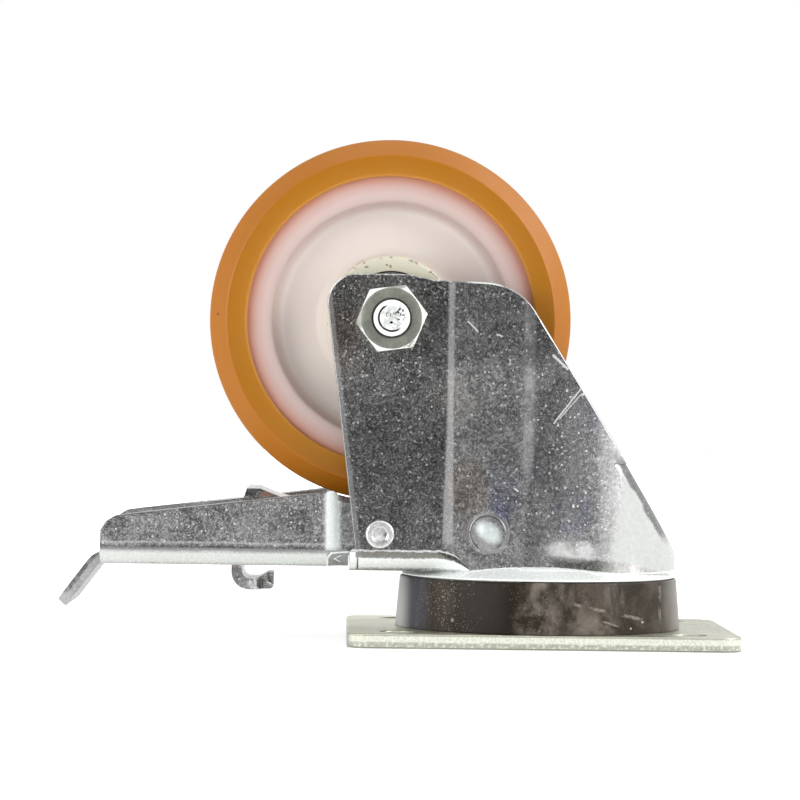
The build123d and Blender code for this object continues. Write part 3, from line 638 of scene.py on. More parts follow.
pedalWear = {
    # bands along the flange by height, and the neck from left to right: start, end, softness
    "fold": (21.6, 24.7, 0.6),
    "shade": (24.9, 26.3, 0.4),
    "line": (27.0, 27.6, 0.3),
    "neck": (-59.9, -55.6, 0.9),
    "arch": [
        ((-59.1, 21.2), (-59.0, 23.6), 0.35),
        ((-59.0, 23.6), (-58.0, 24.8), 0.35),
        ((-58.0, 24.8), (-53.4, 25.1), 0.3),
        ((-57.2, 23.2), (-55.4, 24.1), 0.2),
        ((-57.2, 23.2), (-55.6, 22.4), 0.2),
    ],
    "lipEdge": (-123.1, 24.1, 0.7986, -0.6018),
    "shadeAndTornTone": grey(0.2),
    "grainTone": grey(0.27),
    "grainLightTone": grey(0.4),
    "foldHighlightTone": (0.64, 0.67, 0.63, 1),
    "neckHighlightTone": (0.92, 0.98, 0.97, 1),
    "tornTone": grey(0.1),
    "tipTone": grey(0.37),
}


def pedalMarks(place, base, rough, pale):
    # painted highlight on the fold along the bottom, with painted shade in a dark band and a
    # light line above it
    x, y, z = axes(place)
    body = rise(x, -121.8, -120.9)
    front = rise(x, -59.3, -58.9)
    # painted shade over the recess below the neck's flange line
    box = front * rise(z, 25.4, 24.8)
    wave = (noise(place, 120.0, 4.0) - 0.5) * (1.2 * mm)
    fold = between(z, *pedalWear["fold"]) * body * (1.0 - front)
    under = rise(z, 21.9, 21.3) * 0.55
    shade = between(z + wave, *pedalWear["shade"]) * body
    line = between(z + wave, *pedalWear["line"]) * body
    # painted highlights on the neck's bend and on the arch at its foot
    neck = between(wave * 0.8 + x, *pedalWear["neck"]) * rise(z, 25.0, 26.5)
    arch = strokes(place, pedalWear["arch"])
    # the sheared end of the toe lip is torn dark along its upper side
    lip = rise(x, -121.0, -122.0)
    deep = wave * 0.6 + fromLine(x, z, pedalWear["lipEdge"])
    torn = lip * rise(deep, 1.35, 0.95) * rise(z, 11.5, 13.5)
    tip = lip * rise(z, 13.5, 12.5)
    grain = remap(noise(place, 700.0, 3.0, 0.7), 0.35, 0.65)
    cover = paint(
        pedalWear["grainTone"],
        (grain, pedalWear["grainLightTone"]),
        (box, pedalWear["grainTone"]),
        (fold, pedalWear["foldHighlightTone"]),
        (highest(neck, arch), pedalWear["neckHighlightTone"]),
        (torn, blendColour(grain, pedalWear["tornTone"], pedalWear["grainTone"])),
        (tip, pedalWear["tipTone"]),
    )
    bright = highest(fold * 0.88, neck * 0.88, arch * 0.9, lip * 0.93, box * 0.9, under)
    quiet = highest(shade, fold, torn, under, front * rise(z, 25.2, 24.6))
    pale = highest(pale, line * 0.4) * (1.0 - quiet * 0.8)
    base = blendColour(highest(shade * 0.6, torn * 0.85), base, pedalWear["shadeAndTornTone"])
    return base, rough, pale, cover, bright


pedalLook = dict(forkLook, haze=0.16)
pedalZinc = zincMaterial("pedalZinc", pedalLook, pedalMarks)

cutHighlights = [(-58.6, 98.9, 3.9, 3.0, 0.8), (-16.5, 99.3, 5.0, 2.0), (-0.5, 86.0, 3.0, 10.0, 0.55)]


def cutMarks(place, base, rough, pale):
    # blanked edge: painted highlights only at the back corner, near the front corner and down the
    # slope, darker elsewhere
    x, y, z = axes(place)
    bright = spots(place, cutHighlights)
    keep = (bright * 0.8 + 0.25).clamped()
    keep = (keep - rise(x, -30.0, -50.0) * rise(z, 60.0, 50.0) * 0.1).clamped()
    base = blendColour(keep, grey(0.22), base)
    pale = pale * (keep * 0.8 + 0.1)
    dots = remap(noise(place, 1000.0, 3.0, 0.7), 0.46, 0.6)
    dull = highest(bright * 0.85, rise(z, 96.0, 97.5) * dots * 0.7)
    return base, rough, pale, (0.85, 0.88, 0.84, 1), dull


cutLook = {"dark": grey(0.7), "light": grey(0.85), "roughness": 0.32, "haze": 0.3}
cutZinc = zincMaterial("cutZinc", cutLook, cutMarks)

nutWear = {
    "weak": [(-51.6, 89.2, 2.2, 3.6), (-41.2, 98.1, 3.6, 1.5, -0.1), (-33.1, 91.4, 0.5, 0.7)],
    "speckled": (-37.6, 82.0, 2.6, 1.4),
    "mouth": 5.5,
    "corner": 8.2,
    "face": tint(106, 107, 99),
    "faceLight": tint(126, 127, 117),
    "mouthShadeTone": grey(0.03),
    "cornerHighlightTone": (0.9, 0.93, 0.89, 1),
}


def nutMarks(place, base, rough, pale):
    # painted highlights on the turned corners round a satin face with fine rings, and painted
    # shade in the mouth of the thread
    radius, across, up, along = wheelPolar(place)
    near = along < -33.0 * mm
    ragged = noise(place, 300.0, 3.0)
    rings = (radius * 24000.0).sine() * 0.3 * ragged
    mouth = rise(radius, nutWear["mouth"] + 0.25, nutWear["mouth"] - 0.2) * near
    mouth = mouth * rise(up, -5.0, 4.0, 0.65, 1.0)
    wobble = ragged * (0.3 * mm) + (radius - 0.15 * mm)
    speckle = remap(noise(place, 1500.0, 2.0, 0.7), 0.46, 0.56)
    speckled = spot(place, *nutWear["speckled"]) * speckle
    weak = highest(spots(place, nutWear["weak"]), speckled)
    corner = rise(wobble, nutWear["corner"], nutWear["corner"] + 0.16) * (weak * -0.75 + 1.0)
    tone = (remap(ragged, 0.3, 0.7) + rings).clamped()
    cover = paint(
        nutWear["face"],
        (tone, nutWear["faceLight"]),
        (mouth, nutWear["mouthShadeTone"]),
        (corner, nutWear["cornerHighlightTone"]),
    )
    return base, rough, pale, cover, near * 0.95


nutLook = {
    "dark": tint(198, 199, 184),
    "light": tint(224, 225, 210),
    "roughness": 0.28,
    "haze": 0.06,
    "flecks": 0.15,
    "fibres": 0.1,
    "wave": 0.3,
    "bump": 0.12,
}
nutZinc = zincMaterial("nutZinc", nutLook)
axleNutZinc = zincMaterial("axleNutZinc", nutLook, nutMarks)

pin = {"middle": (-44.8, 30.2), "dish": 2.3, "ringIn": 2.55, "ringOut": 3.7}


def pinMarks(place, base, rough, pale):
    # pale ring on the face of the pin head, and a painted highlight on the upper left of its dish
    x, y, z = axes(place)
    radius = fromPoint(x, z, pin["middle"])
    ring = between(radius, pin["ringIn"], pin["ringOut"], 0.12)
    wedge = rise(fromLine(x, z, (*pin["middle"], 1.0, -1.0)), 1.4, 0.4)
    dish = rise(radius, pin["dish"], pin["dish"] - 0.15) * wedge
    ragged = remap(noise(place, 900.0, 3.0, 0.7), 0.35, 0.65, 0.7, 0.95)
    lit = highest(ring, dish) * ragged * 0.8
    return base, rough, highest(pale, lit), grey(0.8), 0.0


boltEnd = {
    "inside": 5.04,
    "cup": 3.2,
    "arc": (3.5, 3.95, 0.1),
    "dirt": (-40.2, 90.0, 1.5, 2.1),
    "smear": (-43.0, 90.0, 1.6, 0.7),
    "nick": (-42.6, 87.8, 0.45, 0.35),
}


def boltMarks(place, base, rough, pale):
    # turned end of the axle bolt: cup and rim painted white as a reflection, a dark arc between
    # them and dirt in the cup
    radius, across, up, along = wheelPolar(place)
    end = along < -35.0 * mm
    swirl = noise(place, 420.0, 3.0, 0.6, 2.0)
    inside = within(radius, boltEnd["inside"], 0.08)
    cup = within(radius, boltEnd["cup"], 0.1)
    arc = between(swirl * (0.35 * mm) + radius, *boltEnd["arc"])
    arc = arc * rise(up * 0.6 + across, 1.2, -0.8)
    speckle = remap(noise(place, 1300.0, 2.0, 0.7), 0.5, 0.56)
    dirty = highest(spot(place, *boltEnd["dirt"]), spot(place, *boltEnd["smear"]) * 0.7) * speckle
    lines = remap(abs(swirl - 0.5), 0.02, 0.008) * cup
    dark = highest(arc, dirty * 0.85, spot(place, *boltEnd["nick"]), lines * 0.3)
    shine = remap(speckle * -0.05 + swirl, 0.36, 0.6, 0.76, 0.97)
    lit = inside * end * (1.0 - dark) * blendValue(cup, 0.95, shine)
    base = blendColour(end, base, grey(0.05))
    return base, rough, pale * (1.0 - end), (0.95, 0.97, 0.95, 1), lit


boltLook = {
    "dark": grey(0.66),
    "light": grey(0.86),
    "roughness": 0.22,
    "haze": 0.12,
    "flecks": 0.3,
    "wave": 1.0,
    "bump": 0.2,
}
boltZinc = zincMaterial("boltZinc", boltLook)
pinZinc = zincMaterial("pinZinc", boltLook, pinMarks)
axleZinc = zincMaterial("axleZinc", boltLook, boltMarks)

shoeWear = {
    "glow": (-75.0, 40.9, 3.2, 0.9, -0.25),
    "edge": [((-81.3, 42.3), (-78.0, 42.3), 0.45), ((-78.0, 42.3), (-70.5, 39.4), 0.3)],
    "front": -16.0,
}


def shoeMarks(place, base, rough, pale):
    # painted highlight along the upper edge of the shoe, and a painted brown glow of light from
    # the wheel below it
    x, y, z = axes(place)
    near = y < shoeWear["front"] * mm
    glow = spot(place, *shoeWear["glow"]) * near
    edge = strokes(place, shoeWear["edge"]) * near
    base = blendColour(near * 0.5, base, grey(0.35))
    cover = blendColour(edge, (0.3, 0.1, 0.04, 1), (0.93, 0.95, 0.93, 1))
    return base, rough, pale, cover, highest(glow * 0.8, edge * 0.9)


shoeLook = dict(forkLook, dark=grey(0.45), light=grey(0.75), haze=0.15, roughness=0.22)
shoeZinc = zincMaterial("shoeZinc", shoeLook, shoeMarks)

springLook = {"dark": grey(0.22), "light": grey(0.32), "roughness": 0.3, "flecks": 0.2}
bearingLook = {
    "dark": grey(0.55),
    "light": grey(0.62),
    "roughness": 0.16,
    "haze": 0.0,
    "flecks": 0.1,
    "fibres": 0.1,
    "wave": 0.2,
}
springSteel = zincMaterial("springSteel", springLook)
bearingSteel = zincMaterial("bearingSteel", bearingLook)
print("metals ready")


def plasticMaterial(name, colour, cloudScale, **constants):
    material, tree, shader = newMaterial(name, IOR=1.5, **constants)
    place = objectCoordinates(tree)
    cloud = noise(place, cloudScale, 4.0, 0.6)
    base, rough, height = colour(place, cloud)
    setInput(shader.inputs["Base Color"], base)
    setInput(shader.inputs["Roughness"], rough)
    inputs = {"Height": height, "Strength": 0.3, "Distance": 0.05 * mm}
    setInput(shader.inputs["Normal"], nodeField(tree, "ShaderNodeBump", inputs))
    return material


def specks(place, scale, size, share):
    inputs = {"Vector": place, "Scale": scale, "Size": size, "Share": share}
    return useGroup(dustGroup, inputs)["Specks"]


tyreLook = {
    "from": 37.0,
    "to": 50.0,
    # share of the way out, and the colour there
    "stops": [
        (0.0, 214, 150, 96),
        (0.19, 200, 140, 66),
        (0.27, 178, 118, 26),
        (0.42, 172, 112, 16),
        (0.62, 170, 108, 12),
        (0.66, 178, 108, 12),
        (1.0, 180, 110, 14),
    ],
    "cloud": tint(168, 104, 30),
    "dirt": tint(84, 40, 14),
    "glint": tint(246, 200, 150),
    "nicks": [(-76.5, 108.1, 0.45, 0.35), (-90.2, 90.0, 0.3, 0.4)],
}


def polyurethaneColour(place, cloud):
    radius, across, up, along = wheelPolar(place)
    share = rise(radius, tyreLook["from"], tyreLook["to"], smooth=False)
    nicks = spots(place, tyreLook["nicks"]) * (along < 0.0)
    glints = specks(mapped(place, shift=(0.3, 0.1, 0.2)), 190.0, 0.07, 0.05)
    base = paint(
        colourRamp(share, tyreLook["stops"]),
        (cloud * 0.25, tyreLook["cloud"]),
        (specks(place, 170.0, 0.09, 0.05) * 0.8, tyreLook["dirt"]),
        (nicks * 0.85, tyreLook["dirt"]),
        (glints * 0.6, tyreLook["glint"]),
    )
    return base, remap(cloud, 0.3, 0.7, 0.3, 0.44), cloud * 0.6 + glints


polyurethane = plasticMaterial(
    "polyurethane",
    polyurethaneColour,
    70.0,
    Subsurface_Weight=0.25,
    Subsurface_Scale=0.003,
    Subsurface_Radius=(1.0, 0.45, 0.12),
    Specular_IOR_Level=0.4,
)

centreLook = {
    "from": 15.0,
    "to": 40.0,
    "stops": [
        (0.0, 214, 212, 190),
        (0.1, 214, 212, 190),
        (0.12, 231, 222, 213),
        (0.6, 231, 222, 216),
        # the darker stop at 0.7 is painted shade at the foot of the rim's step
        (0.7, 192, 172, 165),
        (0.8, 203, 180, 173),
        (0.88, 196, 160, 151),
        (0.95, 190, 130, 108),
    ],
    "cloud": tint(222, 206, 206),
    "dirt": tint(110, 100, 84),
    # painted shadow colour for the inside of the bore
    "bore": tint(34, 30, 16),
    "boreShadowRadius": 13.4,
    "hub": (16.8, 17.9, 0.3),
    "dents": [
        (-49.4, 103.35, 0.6, 0.3),
        (-43.8, 104.0, 0.5, 0.25, 0.4),
        (-42.8, 103.6, 0.35, 0.5),
        (-31.8, 102.2, 0.5, 0.35),
    ],
    "cuts": [((-31.4, 101.9), (-29.8, 100.6), 0.2), ((-52.4, 104.0), (-50.2, 105.6), 0.16)],
}


def polyamideColour(place, cloud):
    radius, across, up, along = wheelPolar(place)
    share = rise(radius, centreLook["from"], centreLook["to"], smooth=False)
    near = along < 0.0
    dirt = specks(place, 260.0, 0.12, 0.03) * 0.35
    grime = remap(noise(place, 420.0, 3.0, 0.7), 0.56, 0.66) * between(radius, *centreLook["hub"])
    dents = highest(spots(place, centreLook["dents"]), strokes(place, centreLook["cuts"])) * near
    base = paint(
        colourRamp(share, centreLook["stops"]),
        (cloud * 0.2, centreLook["cloud"]),
        (highest(dirt, grime, dents) * 0.8, centreLook["dirt"]),
        # painted shadow inside the bore on the near side
        (within(radius, centreLook["boreShadowRadius"], 0.1) * near, centreLook["bore"]),
    )
    return base, remap(cloud, 0.3, 0.7, 0.38, 0.5), cloud


polyamide = plasticMaterial(
    "polyamide", polyamideColour, 40.0, Subsurface_Weight=0.15, Subsurface_Scale=0.002
)

ringLook = {
    "dark": tint(32, 25, 18),
    "light": tint(56, 48, 38),
    "dusky": tint(26, 20, 14),
    "patch": tint(112, 102, 92),
    "bluishReflection": tint(74, 76, 84),
    "smear": tint(186, 176, 164),
    "leftEndHighlight": tint(206, 208, 208),
    "rightEndHighlight": tint(176, 172, 164),
    "dust": tint(206, 194, 178),
    # stretches from left to right: start, end and softness
    "duskyPart": (-31.0, -8.0, 2.0),
    "bluishReflectionPart": (-38.0, -31.5, 1.5),
    "wipedPart": (-8.0, 21.0, 3.0),
    "dustyPart": (-33.0, -20.0, 2.5),
    "barePart": (-19.0, -9.0, 2.5),
    "rubbed": [(-2.0, 9.0, 7.5, 8.0, 0.3, -0.6, 1.5), (13.0, 6.0, 9.0, 5.5, 0.2, -0.6, 1.5)],
    "streaks": [
        ((7.0, 12.6), (26.7, 8.1), 0.6),
        ((12.0, 9.0), (20.0, 6.4), 0.4),
        ((32.4, 16.5), (32.2, 5.0), 0.6),
    ],
    "spots": [(27.0, 7.3, 0.4, 0.3), (23.6, 5.7, 0.3, 0.3)],
}


def dustRingColour(place, cloud):
    x, y, z = axes(place)
    near = y < 0.0
    patch = remap(noise(place, 55.0, 4.0, 0.65), 0.48, 0.66) * rise(x, -12.0, -3.0, 0.05, 0.36)
    # wiped smears, stronger on one stretch of the front
    smear = noise(mapped(place, (1.0, 1.0, 0.35), (0.0, 0.6, 0.0)), 60.0, 5.0, 0.65)
    smear = remap(smear, 0.5, 0.68) * 0.35
    smear = smear * (between(x, *ringLook["wipedPart"]) * near + 0.2)
    rubbed = remap(noise(place, 150.0, 5.0, 0.7), 0.4, 0.62, 0.0, 0.36) * near
    ragged = remap(noise(place, 260.0, 4.0, 0.7), 0.4, 0.65)
    streaks = strokes(place, ringLook["streaks"]) * ragged * near * 0.45
    smear = highest(smear, spots(place, ringLook["rubbed"]) * rubbed, streaks)
    # fine pale dust, dense on one stretch and wiped off the next
    grain = remap(noise(place, 2200.0, 1.0, 0.8), 0.64, 0.7)
    dusty = between(x, *ringLook["dustyPart"]) * near
    bare = between(x, *ringLook["barePart"]) * near
    clump = remap(noise(place, 120.0, 2.0), 0.42, 0.62, 0.3, 1.0)
    amount = (dusty * 0.5 + 0.25) * clump * (1.0 - bare * 0.85)
    large = specks(place, 520.0, 0.26, 0.1)
    dust = highest(grain * amount, large * amount, spots(place, ringLook["spots"]) * near)
    base = paint(
        ringLook["dark"],
        (cloud, ringLook["light"]),
        (between(x, *ringLook["duskyPart"]) * 0.6, ringLook["dusky"]),
        (patch, ringLook["patch"]),
        # painted bluish reflection next to the lit left end
        (between(x, *ringLook["bluishReflectionPart"]) * 0.7, ringLook["bluishReflection"]),
        (smear, ringLook["smear"]),
        # the ends catch the light: painted highlights
        (rise(x, -35.5, -39.5) * 0.9, ringLook["leftEndHighlight"]),
        (rise(x, 31.5, 40.0) * 0.6, ringLook["rightEndHighlight"]),
        (dust * 0.85, ringLook["dust"]),
    )
    rough = smear * 0.2 + remap(cloud, 0.3, 0.7, 0.32, 0.42)
    return base, rough, cloud + dust


dustRing = plasticMaterial("dustRing", dustRingColour, 60.0, Specular_IOR_Level=0.15)


def sealRubberColour(place, cloud):
    dirt = specks(place, 800.0, 0.2, 0.12) * 0.4
    base = paint(tint(26, 26, 27), (cloud, tint(44, 44, 46)), (dirt, tint(120, 116, 108)))
    return base, remap(cloud, 0.3, 0.7, 0.45, 0.6), cloud


sealRubber = plasticMaterial("sealRubber", sealRubberColour, 300.0)
print("plastics ready")


def pick(piece):
    bpy.ops.object.select_all(action="DESELECT")
    piece.select_set(True)
    bpy.context.view_layer.objects.active = piece


def editAll(piece, *steps):
    # runs mesh steps, each with its settings, on every part of the piece
    pick(piece)
    bpy.ops.object.mode_set(mode="EDIT")
    bpy.ops.mesh.select_all(action="SELECT")
    for step, settings in steps:
        step(**settings)
    bpy.ops.object.mode_set(mode="OBJECT")


def mergePoints(distance):
    return bpy.ops.mesh.remove_doubles, {"threshold": distance}


outwards = (bpy.ops.mesh.normals_make_consistent, {"inside": False})


def copyNode(nodeName, pieceName):
    pick(frame["nodes"][nodeName])
    bpy.ops.object.duplicate()
    piece = bpy.context.active_object
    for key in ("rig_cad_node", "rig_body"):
        if key in piece:
            del piece[key]
    bpy.ops.object.parent_clear(type="CLEAR_KEEP_TRANSFORM")
    piece.name = pieceName
    piece.data.name = pieceName
    piece.data.materials.clear()
    slivers = (bpy.ops.mesh.dissolve_degenerate, {"threshold": 0.01 * mm})
    editAll(piece, mergePoints(0.002 * mm), slivers, outwards)
    return piece


def joinFlats(piece):
    editAll(piece, (bpy.ops.mesh.dissolve_limited, {"angle_limit": math.radians(0.05)}))


def bevelEdges(piece, width, test, slot=-1):
    # weighs the edges that pass the test and bevels those only
    mesh = bmesh.new()
    mesh.from_mesh(piece.data)
    weight = mesh.edges.layers.float.new("bevel_weight_edge")
    limit = math.radians(35)
    for edge in mesh.edges:
        if len(edge.link_faces) == 2 and edge.calc_face_angle(0.0) > limit:
            middle = (edge.verts[0].co + edge.verts[1].co) / 2
            if test(middle / mm, edge.link_faces[0].normal, edge.link_faces[1].normal):
                edge[weight] = 1.0
    mesh.to_mesh(piece.data)
    mesh.free()
    pick(piece)
    bevel = piece.modifiers.new("edgeBevel", "BEVEL")
    bevel.width = width * mm
    bevel.segments = 3
    bevel.limit_method = "WEIGHT"
    bevel.use_clamp_overlap = False
    bevel.material = slot
    bpy.ops.object.modifier_apply(modifier=bevel.name)


def smooth(piece, angle=30, weighted=True):
    pick(piece)
    bpy.ops.object.shade_smooth_by_angle(angle=math.radians(angle))
    if weighted:
        even = piece.modifiers.new("evenNormals", "WEIGHTED_NORMAL")
        even.mode = "FACE_AREA"
        even.weight = 100
        even.keep_sharp = True
        bpy.ops.object.modifier_apply(modifier=even.name)


def dress(piece, *materials):
    piece.data.materials.clear()
    for material in materials:
        piece.data.materials.append(material)


def settle(piece, body, slot, *nodes):
    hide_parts(*nodes)
    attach(piece, body)


def roundedPoints(corners):
    # corners of a closed outline as (a, b, radius); returns points with arcs of six steps
    steps = 6
    points = []
    for index, (a, b, radius) in enumerate(corners):
        here = Vector((a, b))
        if radius <= 0:
            points.append(here)
            continue
        before = (Vector(corners[index - 1][:2]) - here).normalized()
        after = (Vector(corners[(index + 1) % len(corners)][:2]) - here).normalized()
        half = before.angle(after) / 2
        start = here + before * (radius / math.tan(half))
        end = here + after * (radius / math.tan(half))
        centre = here + (before + after).normalized() * (radius / math.sin(half))
        first = start - centre
        turn = first.angle_signed(end - centre)
        for step in range(steps + 1):
            angle = turn * step / steps
            across = first.x * math.cos(angle) + first.y * math.sin(angle)
            along = -first.x * math.sin(angle) + first.y * math.cos(angle)
            points.append(centre + Vector((across, along)))
    return points


def lathe(name, corners, axis, centre, segments):
    # turns a closed outline of (radius, along, corner radius) in mm about an axis
    outline = roundedPoints(corners)
    if axis == "Y":
        points = [(point.x * mm, point.y * mm, 0.0) for point in outline]
    else:
        points = [(point.x * mm, 0.0, point.y * mm) for point in outline]
    edges = [(index, (index + 1) % len(points)) for index in range(len(points))]
    mesh = bpy.data.meshes.new(name)
    mesh.from_pydata(points, edges, [])
    piece = bpy.data.objects.new(name, mesh)
    bpy.context.scene.collection.objects.link(piece)
    pick(piece)
    turn = piece.modifiers.new("turn", "SCREW")
    turn.axis = axis
    turn.steps = segments
    turn.render_steps = segments
    turn.use_merge_vertices = True
    turn.merge_threshold = 0.001 * mm
    bpy.ops.object.modifier_apply(modifier=turn.name)
    piece.data.transform(Matrix.Translation([value * mm for value in centre]))
    editAll(piece, mergePoints(0.001 * mm), outwards)
    return piece


def mirrored(half):
    # adds the same outline on the far side of the wheel
    return half + [(radius, -along, corner) for radius, along, corner in reversed(half)]


def makeTurned(shape, material, settled):
    piece = lathe(*shape)
    dress(piece, material)
    smooth(piece, 40, False)
    settle(piece, *settled)


tread = {
    "outer": 50.0,
    "start": 12.8,
    "shoulder": 45.3,
    "side": 17.5,
    "sideInner": 39.5,
    "inner": 41.5,
    "rim": 16.0,
}
treadHalf = [
    (tread["inner"], tread["rim"], 0),
    (tread["sideInner"], tread["rim"], 0),
    (tread["sideInner"], tread["side"], 0.9),
    (tread["shoulder"], tread["side"], 0.8),
    (tread["outer"], tread["start"], 1.6),
]
makeTurned(
    ("wheelTread", mirrored(treadHalf), "Y", axle, 240),
    polyurethane,
    ("wheel", "polyurethane", "tread"),
)

centre = {
    "bore": 13.0,
    "step": 11.0,
    "stepHalf": 12.0,
    "hub": 17.6,
    "hubHalf": 20.0,
    "web": 8.0,
    "rim": 32.7,
    "rimHalf": 16.0,
    "outer": 41.5,
}
centreHalf = [
    (centre["bore"], centre["hubHalf"], 0.4),
    (centre["hub"], centre["hubHalf"], 1.2),
    (centre["hub"] + 1.0, centre["web"], 3.0),
    (centre["rim"] - 1.2, centre["web"], 3.0),
    (centre["rim"], centre["rimHalf"], 1.0),
    (centre["outer"], centre["rimHalf"], 0.5),
]
# the step in the bore between the two bearings
centreBore = [
    (centre["bore"], -centre["stepHalf"], 0),
    (centre["step"], -centre["stepHalf"], 0),
    (centre["step"], centre["stepHalf"], 0),
    (centre["bore"], centre["stepHalf"], 0),
]
makeTurned(
    ("wheelCentre", mirrored(centreHalf) + centreBore, "Y", axle, 200),
    polyamide,
    ("wheel", "white_polyamide", "wheel_centre"),
)

ring = {"top": 18.1, "bottom": 4.0, "thick": 1.8, "outerTop": 38.7, "outerBottom": 39.9}
ringCorners = [
    (ring["outerTop"] - ring["thick"], ring["top"], 0.3),
    (ring["outerBottom"] - ring["thick"], ring["bottom"], 0.2),
    (ring["outerBottom"], ring["bottom"], 0.4),
    (ring["outerTop"], ring["top"], 0.6),
]
makeTurned(
    ("dustSealRing", ringCorners, "Z", (0.0, 0.0, 0.0), 200),
    dustRing,
    ("base", "dust_ring_plastic", "seal_ring"),
)

bolt = {"radius": 4.95, "end": -36.9, "shoulder": -36.0, "head": 26.5, "cup": 3.5, "deep": 0.7}


def makeAxleBolt():
    # turned shank with a cupped end, and the pressed hexagon head behind it
    bottom = bolt["end"] + bolt["deep"]
    shank = [
        (0.0, bottom, 0),
        (1.6, bottom - 0.08, 0),
        (2.6, bottom - 0.3, 0),
        (bolt["cup"], bolt["end"], 0),
        (3.95, bolt["end"], 0.15),
        (bolt["radius"], bolt["shoulder"], 0.2),
        (bolt["radius"], bolt["head"] + 1.0, 0),
        (0.0, bolt["head"] + 1.0, 0),
    ]
    turned = lathe("axleShank", shank, "Y", axle, 96)
    piece = copyNode("axle_bolt", "axleBolt")
    # the copy keeps its head only, closed with a flat face
    bpy.ops.object.mode_set(mode="EDIT")
    bpy.ops.mesh.select_all(action="DESELECT")
    bpy.ops.object.mode_set(mode="OBJECT")
    for vertex in piece.data.vertices:
        vertex.select = vertex.co.y < (bolt["head"] - 0.1) * mm
    bpy.ops.object.mode_set(mode="EDIT")
    bpy.ops.mesh.delete(type="VERT")
    bpy.ops.mesh.select_all(action="SELECT")
    bpy.ops.mesh.select_mode(type="EDGE")
    bpy.ops.mesh.select_all(action="DESELECT")
    bpy.ops.mesh.select_non_manifold()
    bpy.ops.mesh.edge_face_add()
    bpy.ops.mesh.select_all(action="SELECT")
    bpy.ops.mesh.normals_make_consistent(inside=False)
    bpy.ops.object.mode_set(mode="OBJECT")
    turned.select_set(True)
    bpy.ops.object.join()
    dress(piece, axleZinc)
    smooth(piece)
    settle(piece, "swivel_fork", "zinc_fastener", "axle_bolt")


makeAxleBolt()
print("turned pieces ready")


def meetAcross(first, second, axis, flat, side):
    # true where one face looks along the axis and the other across it
    low, high = sorted((abs(first[axis]), abs(second[axis])))
    return high > flat and low < side


def makePressed(node, name, materials, bevel, outline, settled, cutFace=None):
    # a second material goes on the bevels and on the cut faces
    piece = copyNode(node, name)
    joinFlats(piece)
    dress(piece, *materials)
    bevelEdges(piece, bevel, outline, 1 if len(materials) > 1 else -1)
    for face in piece.data.polygons:
        if cutFace and cutFace(face.center / mm, face.normal):
            face.material_index = 1
    smooth(piece)
    settle(piece, *settled)


fork = {"bevel": 0.4, "wide": 23.0, "low": 27.0, "cutFace": 23.3}


def forkOutline(place, first, second):
    leg = abs(place.y) > fork["wide"] and place.z > fork["low"]
    return leg and meetAcross(first, second, 1, 0.9, 0.3)


def forkCutFace(place, normal):
    return abs(place.y) > fork["cutFace"] and place.z > fork["low"] and abs(normal.y) < 0.1


makePressed(
    "fork",
    "forkPressing",
    (forkZinc, cutZinc),
    fork["bevel"],
    forkOutline,
    ("swivel_fork", "zinc_fork", "fork"),
    forkCutFace,
)

pedal = {"bevel": 0.35, "lipEnd": -118.8, "lipTop": 27.5}


def pedalOutline(place, first, second):
    clear = place.x > pedal["lipEnd"] or place.z > pedal["lipTop"]
    return clear and meetAcross(first, second, 1, 0.9, 0.3)


makePressed(
    "brake_pedal",
    "brakePedal",
    (pedalZinc, cutZinc),
    pedal["bevel"],
    pedalOutline,
    ("brake", "zinc_brake", "brake_pedal"),
)

plateBevel = 0.45


def plateOutline(place, first, second):
    return meetAcross(first, second, 2, 0.95, 0.1)


makePressed(
    "top_plate",
    "mountingPlate",
    (plateZinc,),
    plateBevel,
    plateOutline,
    ("base", "zinc_plate", "top_plate"),
)
print("pressed pieces ready")

# the plainer pieces: node, name, body, slot and material
smallPieces = [
    ("kingpin", "kingpinBolt", "base", "zinc_fastener", boltZinc),
    ("kingpin_sleeve", "kingpinSleeve", "base", "bearing_steel", bearingSteel),
    ("kingpin_nut", "kingpinNut", "base", "zinc_fastener", nutZinc),
    ("retaining_cup", "retainingCup", "base", "zinc_plate", plateZinc),
    ("axle_nut", "axleNut", "swivel_fork", "zinc_fastener", axleNutZinc),
    ("centre_tube", "centreTube", "swivel_fork", "bearing_steel", bearingSteel),
    ("axle_spacer_near", "axleSpacerNear", "swivel_fork", "bearing_steel", boltZinc),
    ("axle_spacer_far", "axleSpacerFar", "swivel_fork", "bearing_steel", boltZinc),
    ("bearing_inner_near", "bearingInnerNear", "swivel_fork", "bearing_steel", bearingSteel),
    ("bearing_inner_far", "bearingInnerFar", "swivel_fork", "bearing_steel", bearingSteel),
    ("brake_pin", "brakePin", "swivel_fork", "zinc_fastener", pinZinc),
    ("pivot_sleeve", "pivotSleeve", "swivel_fork", "zinc_fastener", boltZinc),
    ("bearing_outer_near", "bearingOuterNear", "wheel", "bearing_steel", springSteel),
    ("bearing_outer_far", "bearingOuterFar", "wheel", "bearing_steel", springSteel),
    ("bearing_seal_near", "bearingSealNear", "wheel", "seal_rubber", sealRubber),
    ("bearing_seal_far", "bearingSealFar", "wheel", "seal_rubber", sealRubber),
    ("brake_shoe", "brakeShoe", "brake", "spring_steel", shoeZinc),
    ("shoe_rivets", "shoeRivets", "brake", "zinc_fastener", boltZinc),
    ("detent_leaf", "detentLeaf", "brake", "spring_steel", springSteel),
]
for nodeName, pieceName, body, slotName, material in smallPieces:
    piece = copyNode(nodeName, pieceName)
    dress(piece, material)
    smooth(piece)
    settle(piece, body, slotName, nodeName)
for nodeName in ("main_balls", "upper_balls", "bearing_balls_near", "bearing_balls_far"):
    dress(frame["nodes"][nodeName], bearingSteel)
print("pieces ready")


